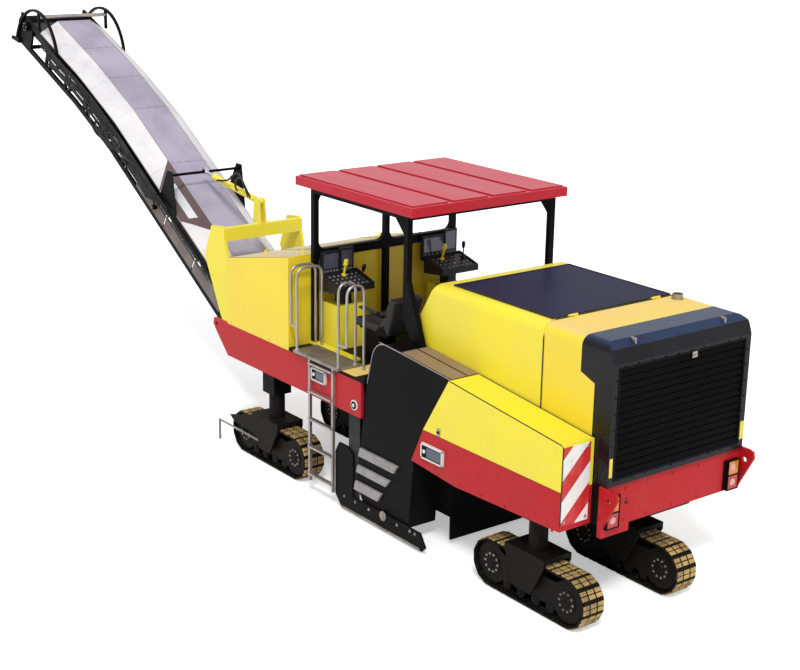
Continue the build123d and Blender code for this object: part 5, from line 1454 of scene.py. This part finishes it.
class PLANER_OT_drum(bpy.types.Operator):
    """Set holders and round picks on the milling drum in two opposed spirals"""
    bl_idname = "planer.drum"
    bl_label = "Drum"

    def execute(self, context):
        low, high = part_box("milling_drum")
        along, up = DRUM_AXLE
        left, right = DRUM_SHELL[1], DRUM_SHELL[0]
        shape = bmesh.new()
        bar(shape, spot(along, right, up), spot(along, left, up), DRUM_RADIUS, 72)
        bar(shape, spot(along, low[1] + 0.001, up), spot(along, high[1] - 0.001, up), 0.110, 40)
        drum = mesh_piece("drum_body", shape, 0.004)
        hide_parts("milling_drum")
        dress(drum, "drum_steel", "drum")
        spots = []
        count = context.scene.planer.pick_count
        for i in range(count):
            share = (i + 0.5) / count
            turn = math.tau * (SPIRAL_TURNS * abs(2 * share - 1) + (0.5 if share > 0.5 else 0))
            radial = Vector((math.cos(turn), 0, math.sin(turn)))
            ahead = Vector((-math.sin(turn), 0, math.cos(turn)))
            across = right + 0.04 + share * (left - right - 0.08)
            foot = spot(along, across, up) + radial * (DRUM_RADIUS - 0.006)
            spots.append((foot, radial * 0.84 + ahead * 0.54))
        scatter("picks", self.pick, spots, "drum_steel", "drum")
        scatter("pick_tips", self.tip, spots, "drum_steel", "drum", "worn_steel")
        return {"FINISHED"}

    def pick(self, shape):
        """A holder's tapered block with its collar."""
        loft(shape, oblong(0, 0, 0.022, 0.022, 0.048), oblong(0, 0, 0.032, 0.026, -0.02))
        bar(shape, (0, 0, 0.046), (0, 0, 0.058), 0.021, 14)

    def tip(self, shape):
        """A round pick's shank and its hard point."""
        bar(shape, (0, 0, 0.056), (0, 0, 0.078), 0.016, 12, 0.010)
        bar(shape, (0, 0, 0.078), (0, 0, 0.094), 0.008, 12, 0.002)


class PLANER_OT_apron(bpy.types.Operator):
    """Hang the rubber apron beside the drum box, in front of the step treads"""
    bl_idname = "planer.apron"
    bl_label = "Apron"

    def execute(self, context):
        sheets, strips, heads = bmesh.new(), bmesh.new(), []
        slab(sheets, APRON_FACE, APRON_FACE + 0.010, APRON_IN, 1.214, APRON_FOOT + 0.045, APRON_TOP)
        slab(sheets, 3.395, APRON_FACE + 0.0005, 1.2035, 1.2130, APRON_FOOT, APRON_TOP)
        slab(sheets, 3.380, APRON_FACE, APRON_IN, APRON_IN + 0.0095, APRON_FOOT, APRON_TOP)
        rear, front = APRON_FACE - 0.008, APRON_FACE + 0.001
        for up in (0.330, 1.180):
            slab(strips, rear, front, APRON_IN, 1.210, up, up + 0.050)
            heads += [(spot(rear, 0.880 + 0.098 * i, up + 0.025), BACK) for i in range(4)]
        slab(strips, APRON_FACE - 0.040, front, APRON_IN, APRON_IN + 0.010, 0.360, 1.200)
        add("apron_sheet", sheets, "belt_rubber", "chassis", "hose_rubber", bevel=0.002)
        add("apron_strips", strips, "black_paint", "chassis", bevel=0.002)
        scatter("apron_bolts", bolt_head(), heads, "black_paint", "chassis")
        return {"FINISHED"}


class PLANER_OT_side_fittings(bpy.types.Operator):
    """Add hubs, skids and bolts to both side plates, and a sleeve to the guide rod"""
    bl_idname = "planer.side_fittings"
    bl_label = "Side fittings"

    def execute(self, context):
        for name, face, side in (("left", LEFT, 1), ("right", -1.246, -1)):
            steel, out = bmesh.new(), OUT * side
            hub = spot(2.878, face, 0.206)
            bar(steel, hub - out * 0.002, hub + out * 0.010, 0.058, 36)
            bar(steel, hub, hub + out * 0.022, 0.026, 28, 0.022)
            y0, y1 = sorted((face - side * 0.003, face + side * 0.009))
            slab(steel, 2.190, 3.690, y0, y1, 0.034, 0.062)
            body = "side_plate_" + name
            add("skid_" + name, steel, "black_paint", body, "worn_steel", bevel=0.002)
            heads = [(spot(along, face, up), out) for along, up in SKID_BOLTS]
            scatter("skid_bolts_" + name, bolt_head(0.014, 0.010), heads, "silver_metal", body, "worn_steel")
        guide = [spot(along, 1.230, up) for along, up in ((5.520, 0.290), (6.528, 0.290), (6.528, 0.030))]
        dress(tube("guide_rod", [guide], 0.0148, 0.020), "silver_metal", "track_left_front", "worn_steel")
        return {"FINISHED"}


class PLANER_OT_stage(bpy.types.Operator):
    """Make the floor, the lights and the camera"""
    bl_idname = "planer.stage"
    bl_label = "Stage"

    def execute(self, context):
        settings = context.scene.planer
        self.floor(settings)
        self.lights(settings)
        self.camera(context.scene)
        context.scene.view_settings.view_transform = "Standard"
        return {"FINISHED"}

    def floor(self, settings):
        """A wide matt floor with a glow that only the camera sees."""
        shape = bmesh.new()
        bmesh.ops.create_grid(shape, x_segments=1, y_segments=1, size=120.0)
        ground = mesh_piece("floor", shape)
        finish = Finish("floor")
        seen = finish.node("ShaderNodeLightPath")
        finish.set(
            Base_Color=(*settings.floor_colour, 1.0), Roughness=0.9, Specular_IOR_Level=0.1,
            Emission_Color=finish.mix(seen, (0.0, 0.0, 0.0), (1.0, 1.0, 1.0)), Emission_Strength=0.42)
        ground.data.materials.append(finish.material)

    def lights(self, settings):
        """A soft key lamp, and a white sky that is dimmer in light and mirrors than to the camera."""
        sun = bpy.data.lights.new("key", "SUN")
        sun.energy = settings.lamp_power
        sun.angle = math.radians(12)
        lamp = place_object("key", sun)
        lamp.rotation_euler = Vector((-0.62, 0.50, 1.0)).to_track_quat("Z", "Y").to_euler()
        world = bpy.data.worlds.new("studio")
        bpy.context.scene.world = world
        world.use_nodes = True
        sky = Nodes(world.node_tree)
        seen, through = (
            sky.node("ShaderNodeLightPath", output=name) for name in ("Is Camera Ray", "Is Transmission Ray"))
        clear = sky.node("ShaderNodeMath", {"operation": "MAXIMUM"}, {0: seen, 1: through})
        strength = sky.node("ShaderNodeMapRange", {}, {"Value": clear, "To Min": 0.75, "To Max": 1.0})
        background = sky.tree.nodes["Background"]
        sky.feed(background.inputs["Color"], (1, 1, 1, 1))
        sky.feed(background.inputs["Strength"], strength)

    def camera(self, scene):
        """The camera that the photo's edges were solved to."""
        look = Vector(CAMERA_LOOK).normalized()
        right = look.cross(UP).normalized()
        up = right.cross(look)
        roll = math.radians(CAMERA_ROLL)
        across = right * math.cos(roll) + up * math.sin(roll)
        upright = up * math.cos(roll) - right * math.sin(roll)
        turn = Matrix((across, upright, -look)).transposed().to_4x4()
        turn.translation = Vector(CAMERA_PLACE)
        lens = bpy.data.cameras.new("camera")
        lens.sensor_width = SENSOR
        lens.sensor_fit = "HORIZONTAL"
        lens.lens = CAMERA_FOCAL * SENSOR
        lens.clip_end = 200.0
        camera = place_object("camera", lens)
        camera.matrix_world = turn
        scene.camera = camera


class PLANER_PT_panel(bpy.types.Panel):
    """Lists the pieces in the sidebar"""
    bl_idname = "PLANER_PT_panel"
    bl_label = "Cold Planer"
    bl_space_type = "VIEW_3D"
    bl_region_type = "UI"
    bl_category = "Cold Planer"

    def draw(self, context):
        settings = context.scene.planer
        for name in settings.bl_rna.properties.keys():
            if name not in ("rna_type", "name"):
                self.layout.prop(settings, name)
        for operator in OPERATORS:
            self.layout.operator(operator.bl_idname)


OPERATORS = (
    PLANER_OT_finishes,
    PLANER_OT_tracks,
    PLANER_OT_rails,
    PLANER_OT_seats,
    PLANER_OT_controls,
    PLANER_OT_body_trim,
    PLANER_OT_hood_trim,
    PLANER_OT_rear_fittings,
    PLANER_OT_conveyor_trim,
    PLANER_OT_hoses,
    PLANER_OT_drum,
    PLANER_OT_apron,
    PLANER_OT_side_fittings,
    PLANER_OT_stage,
)
CLASSES = (PlanerSettings, *OPERATORS, PLANER_PT_panel)


def register():
    for entry in CLASSES:
        bpy.utils.register_class(entry)
    bpy.types.Scene.planer = bpy.props.PointerProperty(type=PlanerSettings)


def unregister():
    del bpy.types.Scene.planer
    for entry in reversed(CLASSES):
        bpy.utils.unregister_class(entry)


def main():
    """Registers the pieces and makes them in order."""
    register()
    for operator in OPERATORS:
        group, name = operator.bl_idname.split(".")
        getattr(getattr(bpy.ops, group), name)()


if __name__ == "__main__":
    main()
